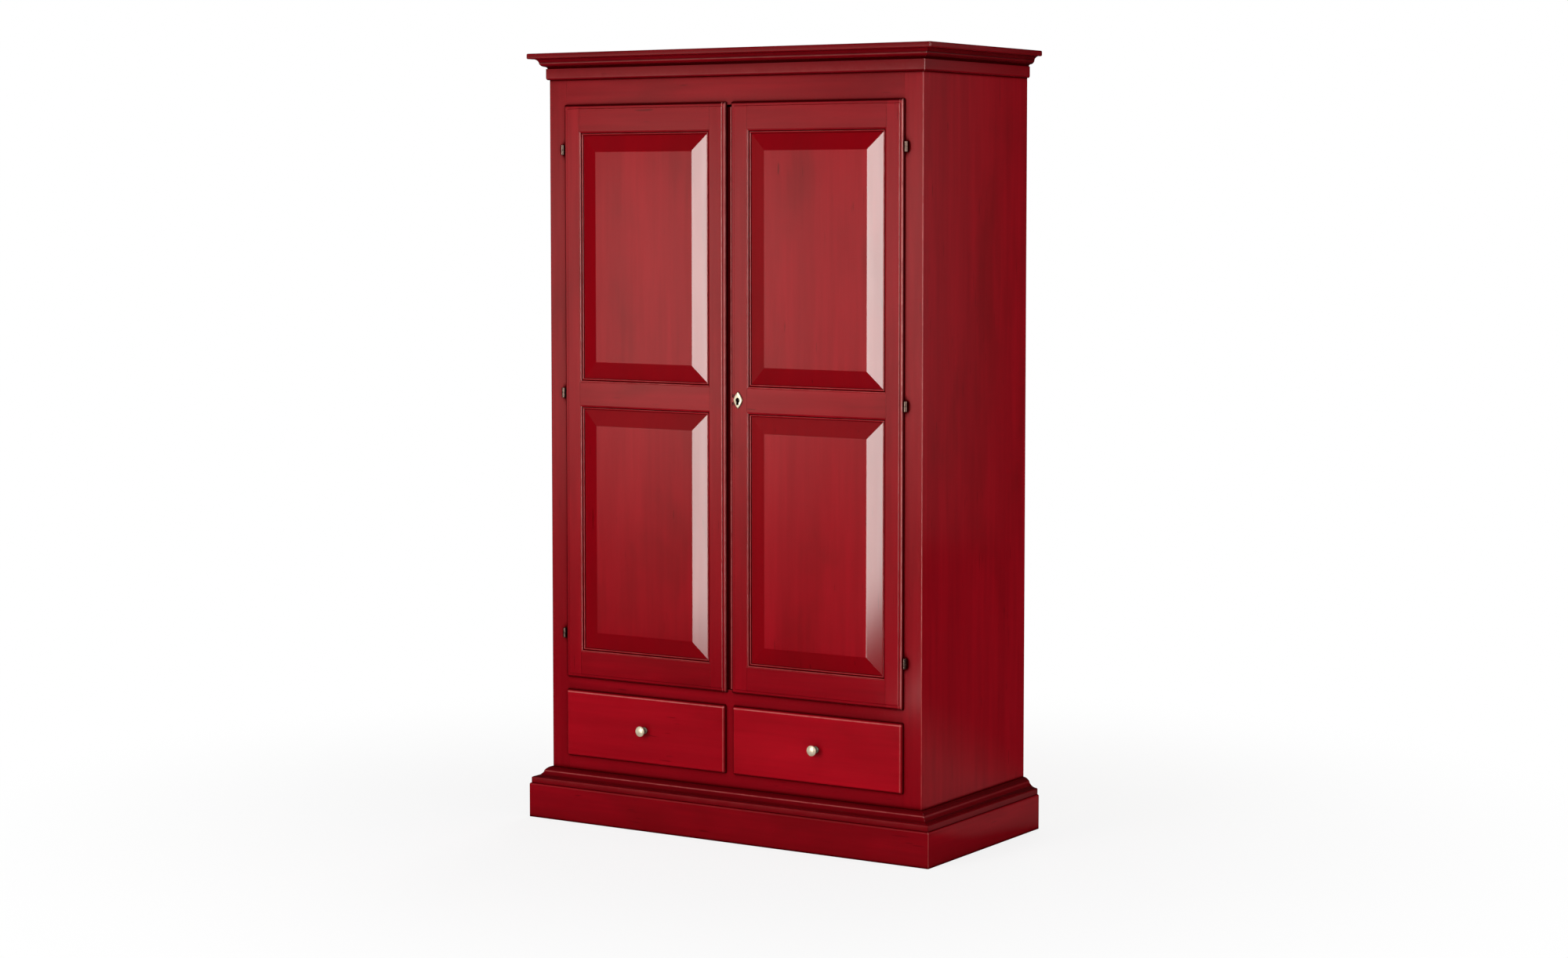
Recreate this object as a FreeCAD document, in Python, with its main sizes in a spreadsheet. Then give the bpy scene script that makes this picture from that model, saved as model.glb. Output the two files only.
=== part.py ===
import FreeCAD, Part
import math
import os
import Sketcher

# A two-door wardrobe over two drawers, on a moulded plinth and under a moulded cornice.
# Millimetres. +Z is up, the front faces -Y, and the origin is under the middle of the whole cabinet.
# Depths of the pieces are written from the front face of the face frame, which lies at y = faceY.

doc = FreeCAD.newDocument("wardrobe")

# Every size that can be set by itself
sizes = {
    # whole cabinet
    "height": 2000,
    "bodyWidth": 1120,
    "bodyDepth": 530,
    "sideThick": 20,
    "backThick": 8,
    "boardThick": 18,
    "backRebate": 10,
    "arris": 2.5,
    # plinth
    "plinthReach": 45,
    "plinthHeight": 90,
    "plinthThick": 20,
    "plinthArris": 4,
    "battenWidth": 40,
    "battenHeight": 30,
    # plinth cap moulding
    "capReach": 41,
    "capFillet": 14,
    "capCoveReach": 39,
    "capCoveFoot": 2,
    "capCoveRadius": 24.3,
    "capCoveRise": 13,
    "capNoseReach": 17.5,
    "capNoseFoot": 2,
    "capNoseRadius": 22,
    "capNoseRise": 11,
    # cornice
    "corniceReach": 43,
    "corniceThick": 14,
    "corniceArris": 3.5,
    "crownHeight": 25,
    "crownFoot": 4.3,
    "crownCoveReach": 8,
    "crownCoveRise": 5,
    "crownCoveRadius": 6,
    "crownBeadReach": 20,
    "crownBeadRise": 8,
    "crownBeadRadius": 13,
    "crownFillet": 1,
    "crownTopReach": 30,
    "crownTopRadius": 13,
    "friezeHeight": 29,
    "friezeReach": 7.2,
    "friezeFoot": 3,
    "friezeRadius": 7,
    # face frame
    "frameThick": 22,
    "stileWidth": 57,
    "topRailHeight": 126,
    "middleRailHeight": 46,
    "drawerOpening": 162,
    "bottomRailHeight": 84,
    "muntinWidth": 36,
    "tenonLength": 32,
    "tenonThick": 8,
    "tenonShoulder": 8,
    # doors
    "meetingGap": 16.5,
    "sideLap": 5.25,
    "endLap": 6,
    "lipThick": 7.5,
    "lipStandoff": 0.5,
    "lipWidth": 8,
    "doorBack": 14,
    "doorStile": 58,
    "doorTopRail": 78,
    "doorMiddleRail": 80,
    "doorBottomRail": 79,
    "lowerPanelHeight": 625,
    "grooveInset": 6,
    "grooveWidth": 6.5,
    "grooveDepth": 8,
    "tongueDepth": 7,
    "fieldProud": 2,
    "bevelWidth": 43,
    "bevelDrop": 8,
    # moulded outer edge of a door
    "edgeReach": 11,
    "edgeStep": 1.5,
    "edgeRadius": 4,
    # moulded inner edge of a door frame
    "stickWidth": 10,
    "stickStep": 0.8,
    "stickFlat": 1,
    "ovoloReach": 3.4,
    "ovoloRadius": 3.6,
    "quirkDepth": 0.6,
    "beadWidth": 4.8,
    "beadRadius": 2.45,
    # meeting strip
    "stripGap": 1.25,
    "stripDrop": 4,
    # hinges
    "barrelRadius": 5,
    "barrelHeight": 26,
    "barrelGap": 0.3,
    "barrelClear": 1.25,
    "barrelStandoff": 1,
    "pinRadius": 2.5,
    "pinRise": 9,
    "pinFit": 0.05,
    "stemRadius": 1.5,
    "stemReach": 14,
    "stemEndGap": 0.5,
    "stemInset": 1.75,
    "hingeEndInset": 115,
    # lock and escutcheon
    "keyInset": 22,
    "plateHeight": 42,
    "plateWidth": 26,
    "plateThick": 2.5,
    "plateBevel": 1.2,
    "keyholeRadius": 3.2,
    "keySlotWidth": 3.4,
    "keySlotDrop": 9,
    "drillPinRadius": 1.3,
    "lockWidth": 58,
    "lockHeight": 62,
    "lockThick": 11,
    "lockInset": 1,
    "lockBoltWidth": 12,
    "lockBoltThick": 7,
    "lockThrow": 18,
    "lockBoltHold": 24,
    "slideGap": 0.3,
    "scoopRadius": 22,
    "scoopOut": 9.5,
    "scoopFront": 13,
    # bolts of the left door
    "boltInset": 32,
    "boltWidth": 12,
    "boltThick": 7,
    "boltLength": 130,
    "boltClear": 0.7,
    "boltEndGap": 4,
    "boltThrow": 20,
    "boltKnobRadius": 5,
    "boltKnobLength": 12,
    "guidePlate": 3,
    "guideWidth": 24,
    "guideLength": 110,
    "guideEyeHeight": 14,
    "guideEyeWall": 2.5,
    "boltNotchGap": 1.5,
    # inside
    "hatSpace": 300,
    "shelfSetback": 60,
    "shelfBatten": 30,
    "railDrop": 70,
    "railRadius": 12.5,
    "railFit": 0.2,
    "socketRadius": 20,
    "socketThick": 12,
    "socketBase": 3,
    "guideHeight": 24,
    # drawers
    "drawerRunGap": 0.3,
    "drawerSideGap": 0.8,
    "drawerTopGap": 2,
    "drawerRound": 6.5,
    "drawerEndGap": 88,
    "drawerSideThick": 12,
    "drawerSideDrop": 10,
    "drawerLap": 8,
    "drawerBottomThick": 6,
    "drawerBottomRise": 10,
    "drawerBottomBite": 6,
    # knobs
    "knobRadius": 13.25,
    "knobReach": 25.5,
    "knobRim": 4,
    "knobNeck": 5,
    "knobNeckReach": 7,
    "knobFoot": 8.5,
    "knobFootThick": 1.5,
    "spigotRadius": 4,
    "spigotLength": 12,
    "spigotFit": 0.05,
    # cutters run past the wood by this much
    "overrun": 5,
}


class Size:
    """A length held as a number together with the formula that gives it from the sheet."""

    def __init__(self, value, formula):
        self.value = value
        self.formula = formula

    def joined(self, sign, other, value):
        text = other.formula if isinstance(other, Size) else repr(other)
        return Size(value, "(" + self.formula + " " + sign + " " + text + ")")

    def __add__(self, other):
        return self.joined("+", other, self.value + number(other))

    def __sub__(self, other):
        return self.joined("-", other, self.value - number(other))

    def __mul__(self, other):
        return self.joined("*", other, self.value * number(other))

    def __truediv__(self, other):
        return self.joined("/", other, self.value / number(other))

    def __neg__(self):
        return Size(-self.value, "(-1 * " + self.formula + ")")


class Sheet:
    """Gives the driving size of a name, as in s.height."""

    def __getattr__(self, name):
        return Size(float(sizes[name]), "sizes." + name)


def number(item):
    """The plain value of a size or of a ratio."""
    return item.value if isinstance(item, Size) else item


def fill_sheet():
    """Writes each driving size to its own cell, with its name as the alias."""
    sheet = doc.addObject("Spreadsheet::Sheet", "sizes")
    for row, (name, value) in enumerate(sizes.items(), start=1):
        sheet.set("A" + str(row), name)
        sheet.set("B" + str(row), str(value))
        sheet.setAlias("B" + str(row), name)
    doc.recompute()


# How far apart two drawn points, or a point and a plane, may be and still count as one
pointTolerance = 1e-6
planeTolerance = 1e-4

s = Sheet()
zero = Size(0.0, "0")
kept = []
fill_sheet()

# Levels and widths that several pieces share
faceY = (s.plinthReach - s.bodyDepth) / 2
halfBody = s.bodyWidth / 2
insideX = halfBody - s.sideThick
openX = halfBody - s.stileWidth
bodyTop = s.height - s.corniceThick
drawerFloor = s.plinthHeight + s.bottomRailHeight
drawerCeiling = drawerFloor + s.drawerOpening
doorFloor = drawerCeiling + s.middleRailHeight
doorCeiling = bodyTop - s.topRailHeight
backY = s.bodyDepth - s.backThick
doorFace = -(s.lipThick + s.lipStandoff)
lipBack = -s.lipStandoff
doorInner = s.meetingGap / 2
doorOuter = openX + s.sideLap
doorLow = doorFloor - s.endLap
doorHigh = doorCeiling + s.endLap
lowerPanelLow = doorLow + s.doorBottomRail
lowerPanelHigh = lowerPanelLow + s.lowerPanelHeight
upperPanelLow = lowerPanelHigh + s.doorMiddleRail
upperPanelHigh = doorHigh - s.doorTopRail
panelOuter = doorOuter - s.doorStile
panelInner = doorInner + s.doorStile
lockLevel = lowerPanelHigh + s.doorMiddleRail / 2


# Helpers for pieces

def keep(item, name):
    """Gives a finished piece its node name."""
    item.Label = name
    kept.append(item)
    return item


def bind(item, values):
    """Ties each property of an object to its formula."""
    for prop, size in values.items():
        item.setExpression(prop, size.formula)
    return item


def place(item, x, y, z):
    """Puts an object at a point whose depth is counted from the face frame."""
    bind(item, {".Placement.Base.x": x, ".Placement.Base.y": faceY + y, ".Placement.Base.z": z})
    return item


def block(name, x, y, z):
    """A box between two limits on each axis."""
    item = doc.addObject("Part::Box", name)
    bind(item, {"Length": x[1] - x[0], "Width": y[1] - y[0], "Height": z[1] - z[0]})
    return place(item, x[0], y[0], z[0])


def rod(name, radius, length, x, y, z, axis):
    """A round bar that starts at a point and runs along an axis."""
    item = doc.addObject("Part::Cylinder", name)
    bind(item, {"Radius": radius, "Height": length})
    item.Placement.Rotation = FreeCAD.Rotation(FreeCAD.Vector(0, 0, 1), FreeCAD.Vector(*axis))
    return place(item, x, y, z)


def fuse(name, pieces):
    """One solid from several that meet."""
    item = doc.addObject("Part::MultiFuse", name)
    item.Shapes = pieces
    item.Refine = True
    return item


def cut(name, base, tools):
    """A piece with everything of the tools taken away."""
    item = doc.addObject("Part::Cut", name)
    item.Base = base
    item.Tool = tools[0] if len(tools) == 1 else group(name + "_waste", tools)
    return item


def group(name, pieces):
    """Separate solids that share one node."""
    item = doc.addObject("Part::Compound", name)
    item.Links = pieces
    return item


def mirror(name, source):
    """The same piece on the other side of the middle."""
    item = doc.addObject("Part::Mirroring", name)
    item.Source = source
    item.Normal = FreeCAD.Vector(1, 0, 0)
    return item


# Helpers for outlines

def arc_edge(start, end, radius, bulge):
    """The short arc of a radius between two points, bulging to the left or right of the way."""
    chord = end - start
    rise = math.sqrt(radius * radius - chord.Length * chord.Length / 4)
    side = FreeCAD.Vector(-chord.y, chord.x, 0).normalize() * bulge
    middle = (start + end) / 2
    return Part.Arc(start, middle + side * (radius - rise), end)


def vector(point):
    """The drawn place of a point of an outline."""
    return FreeCAD.Vector(point[0].value, point[1].value, 0)


def draw(sketch, points, arcs={}):
    """Draws a closed outline. arcs gives, for a stretch's first point, its radius and its bulge."""
    count = len(points)
    for index in range(count):
        start, end = vector(points[index]), vector(points[(index + 1) % count])
        if index in arcs:
            radius, bulge = arcs[index]
            sketch.addGeometry(arc_edge(start, end, radius.value, bulge), False)
        else:
            sketch.addGeometry(Part.LineSegment(start, end), False)
    starts, ends = end_points(sketch, points, arcs)
    for index in range(count):
        follower = (index + 1) % count
        joined = Sketcher.Constraint("Coincident", index, ends[index], follower, starts[follower])
        sketch.addConstraint(joined)
    for index, (x, y) in enumerate(points):
        measure(sketch, "DistanceX", index, starts[index], x)
        measure(sketch, "DistanceY", index, starts[index], y)
    for index, (radius, bulge) in arcs.items():
        number_of = sketch.addConstraint(Sketcher.Constraint("Radius", index, radius.value))
        sketch.setExpression("Constraints[" + str(number_of) + "]", radius.formula)


def end_points(sketch, points, arcs):
    """Which end of each stretch comes first on the way round: an arc may be stored turned about."""
    starts, ends = [], []
    for index, point in enumerate(points):
        turned = index in arcs and (sketch.getPoint(index, 1) - vector(point)).Length > pointTolerance
        starts.append(2 if turned else 1)
        ends.append(1 if turned else 2)
    return starts, ends


def measure(sketch, kind, index, end, size):
    """Ties one coordinate of an outline's point to its formula."""
    number_of = sketch.addConstraint(Sketcher.Constraint(kind, -1, 1, index, end, size.value))
    sketch.setExpression("Constraints[" + str(number_of) + "]", size.formula)


def body_at(name, x, y, z):
    """An empty body whose origin lies at a point."""
    return place(doc.addObject("PartDesign::Body", name), x, y, z)


def sketch_on(body, role, points, arcs={}):
    """A closed outline on one of a body's own origin planes."""
    plane = [item for item in body.Origin.OriginFeatures if item.Role == role][0]
    sketch = body.newObject("Sketcher::SketchObject", body.Name + "_outline")
    sketch.AttachmentSupport = (plane, [""])
    sketch.MapMode = "FlatFace"
    draw(sketch, points, arcs)
    return sketch


def pad(body, sketch, forward, back=None):
    """Stretches an outline along its plane's normal, and back by a second length where given."""
    item = body.newObject("PartDesign::Pad", body.Name + "_pad")
    item.Profile = sketch
    bind(item, {"Length": forward})
    if back is not None:
        item.SideType = "Two sides"
        bind(item, {"Length2": back})
    return item


def pad_both(body, sketch, length):
    """Stretches an outline to both sides of its plane alike."""
    item = pad(body, sketch, length)
    item.SideType = "Symmetric"
    return item


def pocket_through(body, sketch):
    """Cuts an outline right through, to both sides of its plane."""
    item = body.newObject("PartDesign::Pocket", body.Name + "_pocket")
    item.Profile = sketch
    item.SideType = "Two sides"
    item.Type = "ThroughAll"
    item.Type2 = "ThroughAll"
    return item


def round_edges(body, base, chosen, radius):
    """Rounds the edges of a feature that a test picks out."""
    doc.recompute()
    names = ["Edge" + str(index) for index, edge in enumerate(base.Shape.Edges, start=1) if chosen(edge)]
    item = body.newObject("PartDesign::Fillet", body.Name + "_round")
    item.Base = (base, names)
    bind(item, {"Radius": radius})
    return item


def edge_lies(edge, axis, level):
    """Whether the whole edge lies in the plane where an axis has a given value."""
    return all(abs(vertex.Point[axis] - level) < planeTolerance for vertex in edge.Vertexes)


# Mouldings that run round the front and both sides

def front_length(name, reach, section, arcs):
    """The front length of a moulding, mitred at both ends. The section is drawn as reach and height."""
    body = body_at(name, zero, zero, zero)
    outline = sketch_on(body, "YZ_Plane", [(-out, up) for out, up in section], arcs)
    pad_both(body, outline, s.bodyWidth + (reach + s.overrun) * 2)
    for side in (1, -1):
        waste = [
            ((halfBody - s.sideThick) * side, s.sideThick),
            ((halfBody + reach + s.overrun) * side, -(reach + s.overrun)),
            ((halfBody + reach + s.overrun * 2) * side, s.sideThick),
        ]
        pocket_through(body, sketch_on(body, "XY_Plane", waste))
    return body


def side_length(name, reach, section, arcs):
    """The right-hand length of a moulding, mitred at the front and square at the back."""
    body = body_at(name, zero, zero, zero)
    turned = {index: (radius, -bulge) for index, (radius, bulge) in arcs.items()}
    outline = sketch_on(body, "XZ_Plane", [(halfBody + out, up) for out, up in section], turned)
    pad(body, outline, reach + s.overrun, s.bodyDepth)
    waste = [
        (halfBody - s.sideThick, s.sideThick),
        (halfBody + reach + s.overrun, -(reach + s.overrun)),
        (halfBody - s.sideThick, -(reach + s.overrun)),
    ]
    pocket_through(body, sketch_on(body, "XY_Plane", waste))
    return body


def moulding_round(name, reach, section, arcs):
    """Three mitred lengths of one moulding, as one node."""
    front = front_length(name + "_front", reach, section, arcs)
    right = side_length(name + "_right", reach, section, arcs)
    left = mirror(name + "_left", right)
    return keep(group(name, [front, right, left]), name)


def plinth():
    """Three mitred boards, the battens that carry the carcass inside them, and a rear rail."""
    inner = s.plinthReach - s.plinthThick
    top = s.plinthHeight
    section = [
        (inner, zero),
        (s.plinthReach, zero),
        (s.plinthReach, top - s.plinthArris),
        (s.plinthReach - s.plinthArris, top),
        (inner, top),
    ]
    rounds = {2: (s.plinthArris, 1)}
    keep(front_length("plinth_front", s.plinthReach, section, rounds), "plinth_front")
    right = side_length("plinth_side", s.plinthReach, section, rounds)
    keep(group("plinth_sides", [right, mirror("plinth_side_left", right)]), "plinth_sides")
    low, high = top - s.battenHeight, top
    reachX = halfBody + inner
    rear = block("rear", (-reachX, reachX), (s.bodyDepth - s.plinthThick, s.bodyDepth), (zero, high))
    front = block("front", (-reachX, reachX), (-inner, s.battenWidth - inner), (low, high))
    sideY = (s.battenWidth - inner, s.bodyDepth - s.plinthThick)
    right = block("right", (reachX - s.battenWidth, reachX), sideY, (low, high))
    left = block("left", (-reachX, s.battenWidth - reachX), sideY, (low, high))
    keep(group("plinth_battens", [front, right, left, rear]), "plinth_battens")


def plinth_cap():
    """A fillet, a cove and a rounded nose that leads from the plinth board to the body."""
    fillet = s.plinthHeight + s.capFillet
    cove = fillet + s.capCoveFoot
    nose = cove + s.capCoveRise
    section = [
        (zero, s.plinthHeight),
        (s.capReach, s.plinthHeight),
        (s.capReach, fillet),
        (s.capCoveReach, cove),
        (s.capNoseReach, nose),
        (s.capNoseReach, nose + s.capNoseFoot),
        (zero, nose + s.capNoseFoot + s.capNoseRise),
    ]
    moulding_round("plinth_cap", s.capReach, section, {3: (s.capCoveRadius, -1), 5: (s.capNoseRadius, 1)})


def cornice():
    """The flat top board, the crown moulding under it and the frieze band under that."""
    reach, low, high = s.corniceReach, bodyTop, s.height
    body = body_at("cornice_board", zero, zero, low)
    outerX = halfBody + reach
    corners = [(-outerX, -reach), (outerX, -reach), (outerX, s.bodyDepth), (-outerX, s.bodyDepth)]
    top = pad(body, sketch_on(body, "XY_Plane", corners), s.corniceThick)
    round_edges(body, top, lambda edge: shows_on_cornice(edge), s.corniceArris)
    keep(body, "cornice_board")
    crownLow = low - s.crownHeight
    cove = crownLow + s.crownCoveRise
    bead = cove + s.crownBeadRise
    section = [
        (zero, crownLow),
        (s.crownFoot, crownLow),
        (s.crownCoveReach, cove),
        (s.crownBeadReach, bead),
        (s.crownBeadReach, bead + s.crownFillet),
        (s.crownTopReach, low),
        (zero, low),
    ]
    arcs = {1: (s.crownCoveRadius, -1), 2: (s.crownBeadRadius, 1), 4: (s.crownTopRadius, -1)}
    moulding_round("crown_moulding", s.crownTopReach, section, arcs)
    friezeLow = crownLow - s.friezeHeight
    section = [
        (zero, friezeLow),
        (s.friezeReach - s.friezeFoot, friezeLow),
        (s.friezeReach, friezeLow + s.friezeFoot * 2),
        (s.friezeReach, crownLow),
        (zero, crownLow),
    ]
    moulding_round("frieze_band", s.friezeReach, section, {1: (s.friezeRadius, 1)})


def shows_on_cornice(edge):
    """The long edges of the top board at its front and sides, not at the wall."""
    level = edge_lies(edge, 2, 0) or edge_lies(edge, 2, s.corniceThick.value)
    return level and not edge_lies(edge, 1, s.bodyDepth.value)


# The carcass

def stile(name):
    """A front stile with a rounded outer arris, and mortises for the three rails."""
    body = body_at(name + "_bar", zero, zero, s.plinthHeight)
    section = [
        (openX, zero),
        (halfBody - s.arris, zero),
        (halfBody, s.arris),
        (halfBody, s.frameThick),
        (openX, s.frameThick),
    ]
    bar = sketch_on(body, "XY_Plane", section, {1: (s.arris, -1)})
    pad(body, bar, bodyTop - s.plinthHeight)
    return body


def tenon(name, x, z):
    """A tenon, or the room of its mortise, in the middle of the frame's thickness."""
    middle = s.frameThick / 2
    return block(name, x, (middle - s.tenonThick / 2, middle + s.tenonThick / 2), z)


def rail(name, z):
    """A rail between the front stiles, with a tenon at each end."""
    low, high = z[0] + s.tenonShoulder, z[1] - s.tenonShoulder
    bar = block(name + "_bar", (-openX, openX), (zero, s.frameThick), z)
    tenons = tenon(name + "_tenons", (-(openX + s.tenonLength), openX + s.tenonLength), (low, high))
    return fuse(name, [bar, tenons])


def hinge_levels():
    """Heights of the three hinges of a door: near both ends and in the middle between them."""
    low = doorLow + s.hingeEndInset
    high = doorHigh - s.hingeEndInset
    return [low, (low + high) / 2, high]


def face_frame():
    """Stiles, three rails and the muntin between the drawers."""
    levels = {
        "bottom_rail": (s.plinthHeight, drawerFloor),
        "middle_rail": (drawerCeiling, doorFloor),
        "top_rail": (doorCeiling, bodyTop),
    }
    for name, level in levels.items():
        if name == "top_rail":
            keep(rail(name, level), name)
        else:
            tenonRoom = muntin_tenon(name + "_mortise")
            keep(cut(name, rail(name + "_blank", level), [tenonRoom]), name)
    halfMuntin = s.muntinWidth / 2
    bar = block("muntin_bar", (-halfMuntin, halfMuntin), (zero, s.frameThick), (drawerFloor, drawerCeiling))
    keep(fuse("drawer_muntin", [bar, muntin_tenon("muntin_tenon")]), "drawer_muntin")
    bar = stile("front_stile")
    reach = (openX, openX + s.tenonLength)
    waste = [
        tenon(name + "_mortise_right", reach, (z[0] + s.tenonShoulder, z[1] - s.tenonShoulder))
        for name, z in levels.items()
    ]
    for index, level in enumerate(hinge_levels()):
        hole = frame_stem("frame_hole" + str(index), s.stemRadius + s.pinFit, level, s.stemEndGap)
        waste.append(hole)
    right = keep(cut("right_front_stile", bar, waste), "right_front_stile")
    keep(mirror("left_front_stile", right), "left_front_stile")


def muntin_tenon(name):
    """The muntin's tenon, which runs a short way into the rails above and below."""
    half = s.muntinWidth / 2 - s.tenonShoulder
    bite = s.tenonLength / 2
    return tenon(name, (-half, half), (drawerFloor - bite, drawerCeiling + bite))


def carcass():
    """Side panels, back, boards and the divider behind the face frame."""
    side = block("side_board", (insideX, halfBody), (s.frameThick, s.bodyDepth), (s.plinthHeight, bodyTop))
    rebate = block(
        "side_rebate",
        (insideX - s.overrun, insideX + s.backRebate),
        (backY, s.bodyDepth + s.overrun),
        (s.plinthHeight - s.overrun, bodyTop + s.overrun),
    )
    right = keep(cut("right_side_panel", side, [rebate]), "right_side_panel")
    keep(mirror("left_side_panel", right), "left_side_panel")
    backX = insideX + s.backRebate
    back = block("back_panel", (-backX, backX), (backY, s.bodyDepth), (s.plinthHeight, bodyTop))
    keep(back, "back_panel")
    width, depth = (-insideX, insideX), (s.frameThick, backY)
    bottom = block("bottom_board", width, depth, (drawerFloor - s.boardThick, drawerFloor))
    keep(bottom, "bottom_board")
    top = block("carcass_top", width, depth, (bodyTop - s.boardThick, bodyTop))
    keep(top, "carcass_top")
    ceiling = doorFloor - s.boardThick
    floor = block("floor_board", width, depth, (ceiling, doorFloor))
    keep(cut("compartment_floor", floor, [bolt_notch(ceiling)]), "compartment_floor")
    half = s.boardThick / 2
    keep(block("drawer_divider", (-half, half), depth, (drawerFloor, ceiling)), "drawer_divider")
    drawer_guides(half, depth)


def bolt_notch(ceiling):
    """The notch in the floor's front edge that the left door's lower bolt drops into."""
    centre = -(doorInner + s.boltInset)
    half = s.boltWidth / 2 + s.boltNotchGap
    deep = s.frameThick + s.boltClear + s.boltThick + s.boltNotchGap
    x = (centre - half, centre + half)
    z = (ceiling - s.overrun, doorFloor + s.overrun)
    return block("bolt_notch", x, (s.frameThick - s.overrun, deep), z)


def drawer_guides(halfDivider, depth):
    """Battens beside the drawers that keep them straight as they slide."""
    z = (drawerFloor, drawerFloor + s.guideHeight)
    outer = block("outer_guide", (openX, insideX), depth, z)
    inner = block("inner_guide", (halfDivider, s.muntinWidth / 2), depth, z)
    lefts = [mirror("outer_guide_left", outer), mirror("inner_guide_left", inner)]
    keep(group("drawer_guides", [outer, inner] + lefts), "drawer_guides")


def hanging_fittings():
    """Hat shelf on two battens, and a clothes rail held in two round sockets."""
    under = bodyTop - s.boardThick - s.hatSpace - s.boardThick
    depth = (s.shelfSetback, backY)
    keep(block("hat_shelf", (-insideX, insideX), depth, (under, under + s.boardThick)), "hat_shelf")
    batten = block("batten", (insideX - s.sideThick, insideX), depth, (under - s.shelfBatten, under))
    keep(group("shelf_battens", [batten, mirror("batten_left", batten)]), "shelf_battens")
    level = under - s.railDrop
    y = (s.frameThick + backY) / 2
    end = insideX - s.socketBase
    keep(rod("clothes_rail", s.railRadius, end * 2, -end, y, level, (1, 0, 0)), "clothes_rail")
    cup = rod("cup", s.socketRadius, s.socketThick, insideX - s.socketThick, y, level, (1, 0, 0))
    bore = rod("cup_bore", s.railRadius + s.railFit, end, zero, y, level, (1, 0, 0))
    socket = cut("rail_socket", cup, [bore])
    keep(group("rail_sockets", [socket, mirror("rail_socket_left", socket)]), "rail_sockets")


# Hinges

hingeX = doorOuter + s.barrelClear + s.barrelRadius
hingeY = -(s.barrelRadius + s.barrelStandoff)
knuckle = (s.barrelHeight - s.barrelGap) / 2


def frame_stem(name, radius, level, extra):
    """The stem that screws straight back into the frame, below the middle of the hinge."""
    z = level - s.barrelHeight / 4
    return rod(name, radius, s.stemReach - hingeY + extra, hingeX, hingeY, z, (0, 1, 0))


def door_stem(name, radius, level, extra):
    """The stem that screws sideways into the door's lip, above the middle of the hinge."""
    y = lipBack - s.stemInset
    z = level + s.barrelHeight / 4
    start = hingeX - s.stemRadius
    return rod(name, radius, start - doorOuter + s.stemReach + extra, start, y, z, (-1, 0, 0))


def pin_half(index, level):
    """Lower knuckle with the standing pin and its stem."""
    name = "pin_half" + str(index)
    low = level - s.barrelHeight / 2
    barrel = rod(name + "_barrel", s.barrelRadius, knuckle, hingeX, hingeY, low, (0, 0, 1))
    pin = rod(name + "_pin", s.pinRadius, knuckle + s.barrelGap + s.pinRise, hingeX, hingeY, low, (0, 0, 1))
    return fuse(name, [barrel, pin, frame_stem(name + "_stem", s.stemRadius, level, zero)])


def sleeve_half(index, level):
    """Upper knuckle, bored for the pin, with its stem."""
    name = "sleeve_half" + str(index)
    low = level + s.barrelGap / 2
    barrel = rod(name + "_barrel", s.barrelRadius, knuckle, hingeX, hingeY, low, (0, 0, 1))
    whole = fuse(name + "_whole", [barrel, door_stem(name + "_stem", s.stemRadius, level, zero)])
    room = s.pinRise + s.stemEndGap + s.overrun
    bore = rod(name + "_bore", s.pinRadius + s.pinFit, room, hingeX, hingeY, low - s.overrun, (0, 0, 1))
    return cut(name, whole, [bore])


def hinges():
    """Three hinges a door: the pin halves on the frame are one node, and each door has its sleeves."""
    levels = list(enumerate(hinge_levels()))
    pins = [pin_half(index, level) for index, level in levels]
    lefts = [mirror(pin.Name + "_left", pin) for pin in pins]
    keep(group("hinge_pins", pins + lefts), "hinge_pins")
    right = group("right_hinge_sleeves", [sleeve_half(index, level) for index, level in levels])
    keep(right, "right_hinge_sleeves")
    keep(mirror("left_hinge_sleeves", right), "left_hinge_sleeves")


# Doors: blanks of stiles and rails, shaped together by cutters that run round each rectangle

def ring_path(name, x, z):
    """A rectangle in the plane of the frame's face, started in the middle of its inner side."""
    path = doc.addObject("Sketcher::SketchObject", name)
    path.Placement.Rotation = FreeCAD.Rotation(FreeCAD.Vector(1, 0, 0), 90)
    bind(path, {".Placement.Base.y": faceY})
    middle = (z[0] + z[1]) / 2
    draw(path, [(x[0], middle), (x[0], z[1]), (x[1], z[1]), (x[1], z[0]), (x[0], z[0])])
    return path


def ring_cutter(name, x, z, section, arcs):
    """Waste of one moulding, swept round a rectangle with mitred corners. The section starts at x[0]."""
    profile = doc.addObject("Sketcher::SketchObject", name + "_section")
    bind(profile, {".Placement.Base.y": faceY, ".Placement.Base.z": (z[0] + z[1]) / 2})
    draw(profile, section, arcs)
    item = doc.addObject("Part::Sweep", name)
    path = ring_path(name + "_path", x, z)
    item.Sections = [profile]
    item.Spine = (path, ["Edge" + str(index + 1) for index in range(path.GeometryCount)])
    item.Solid = True
    item.Transition = "Right corner"
    return item


def outer_edge_cutter():
    """Step and round on the door's outer edge, as the waste outside them."""
    edge = doorInner
    step = doorFace + s.edgeStep
    front = doorFace - s.overrun
    section = [
        (edge - s.overrun, step + s.edgeRadius),
        (edge, step + s.edgeRadius),
        (edge + s.edgeRadius, step),
        (edge + s.edgeReach, step),
        (edge + s.edgeReach, front),
        (edge - s.overrun, front),
    ]
    x, z = (doorInner, doorOuter), (doorLow, doorHigh)
    return ring_cutter("edge_cutter", x, z, section, {1: (s.edgeRadius, -1)})


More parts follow.
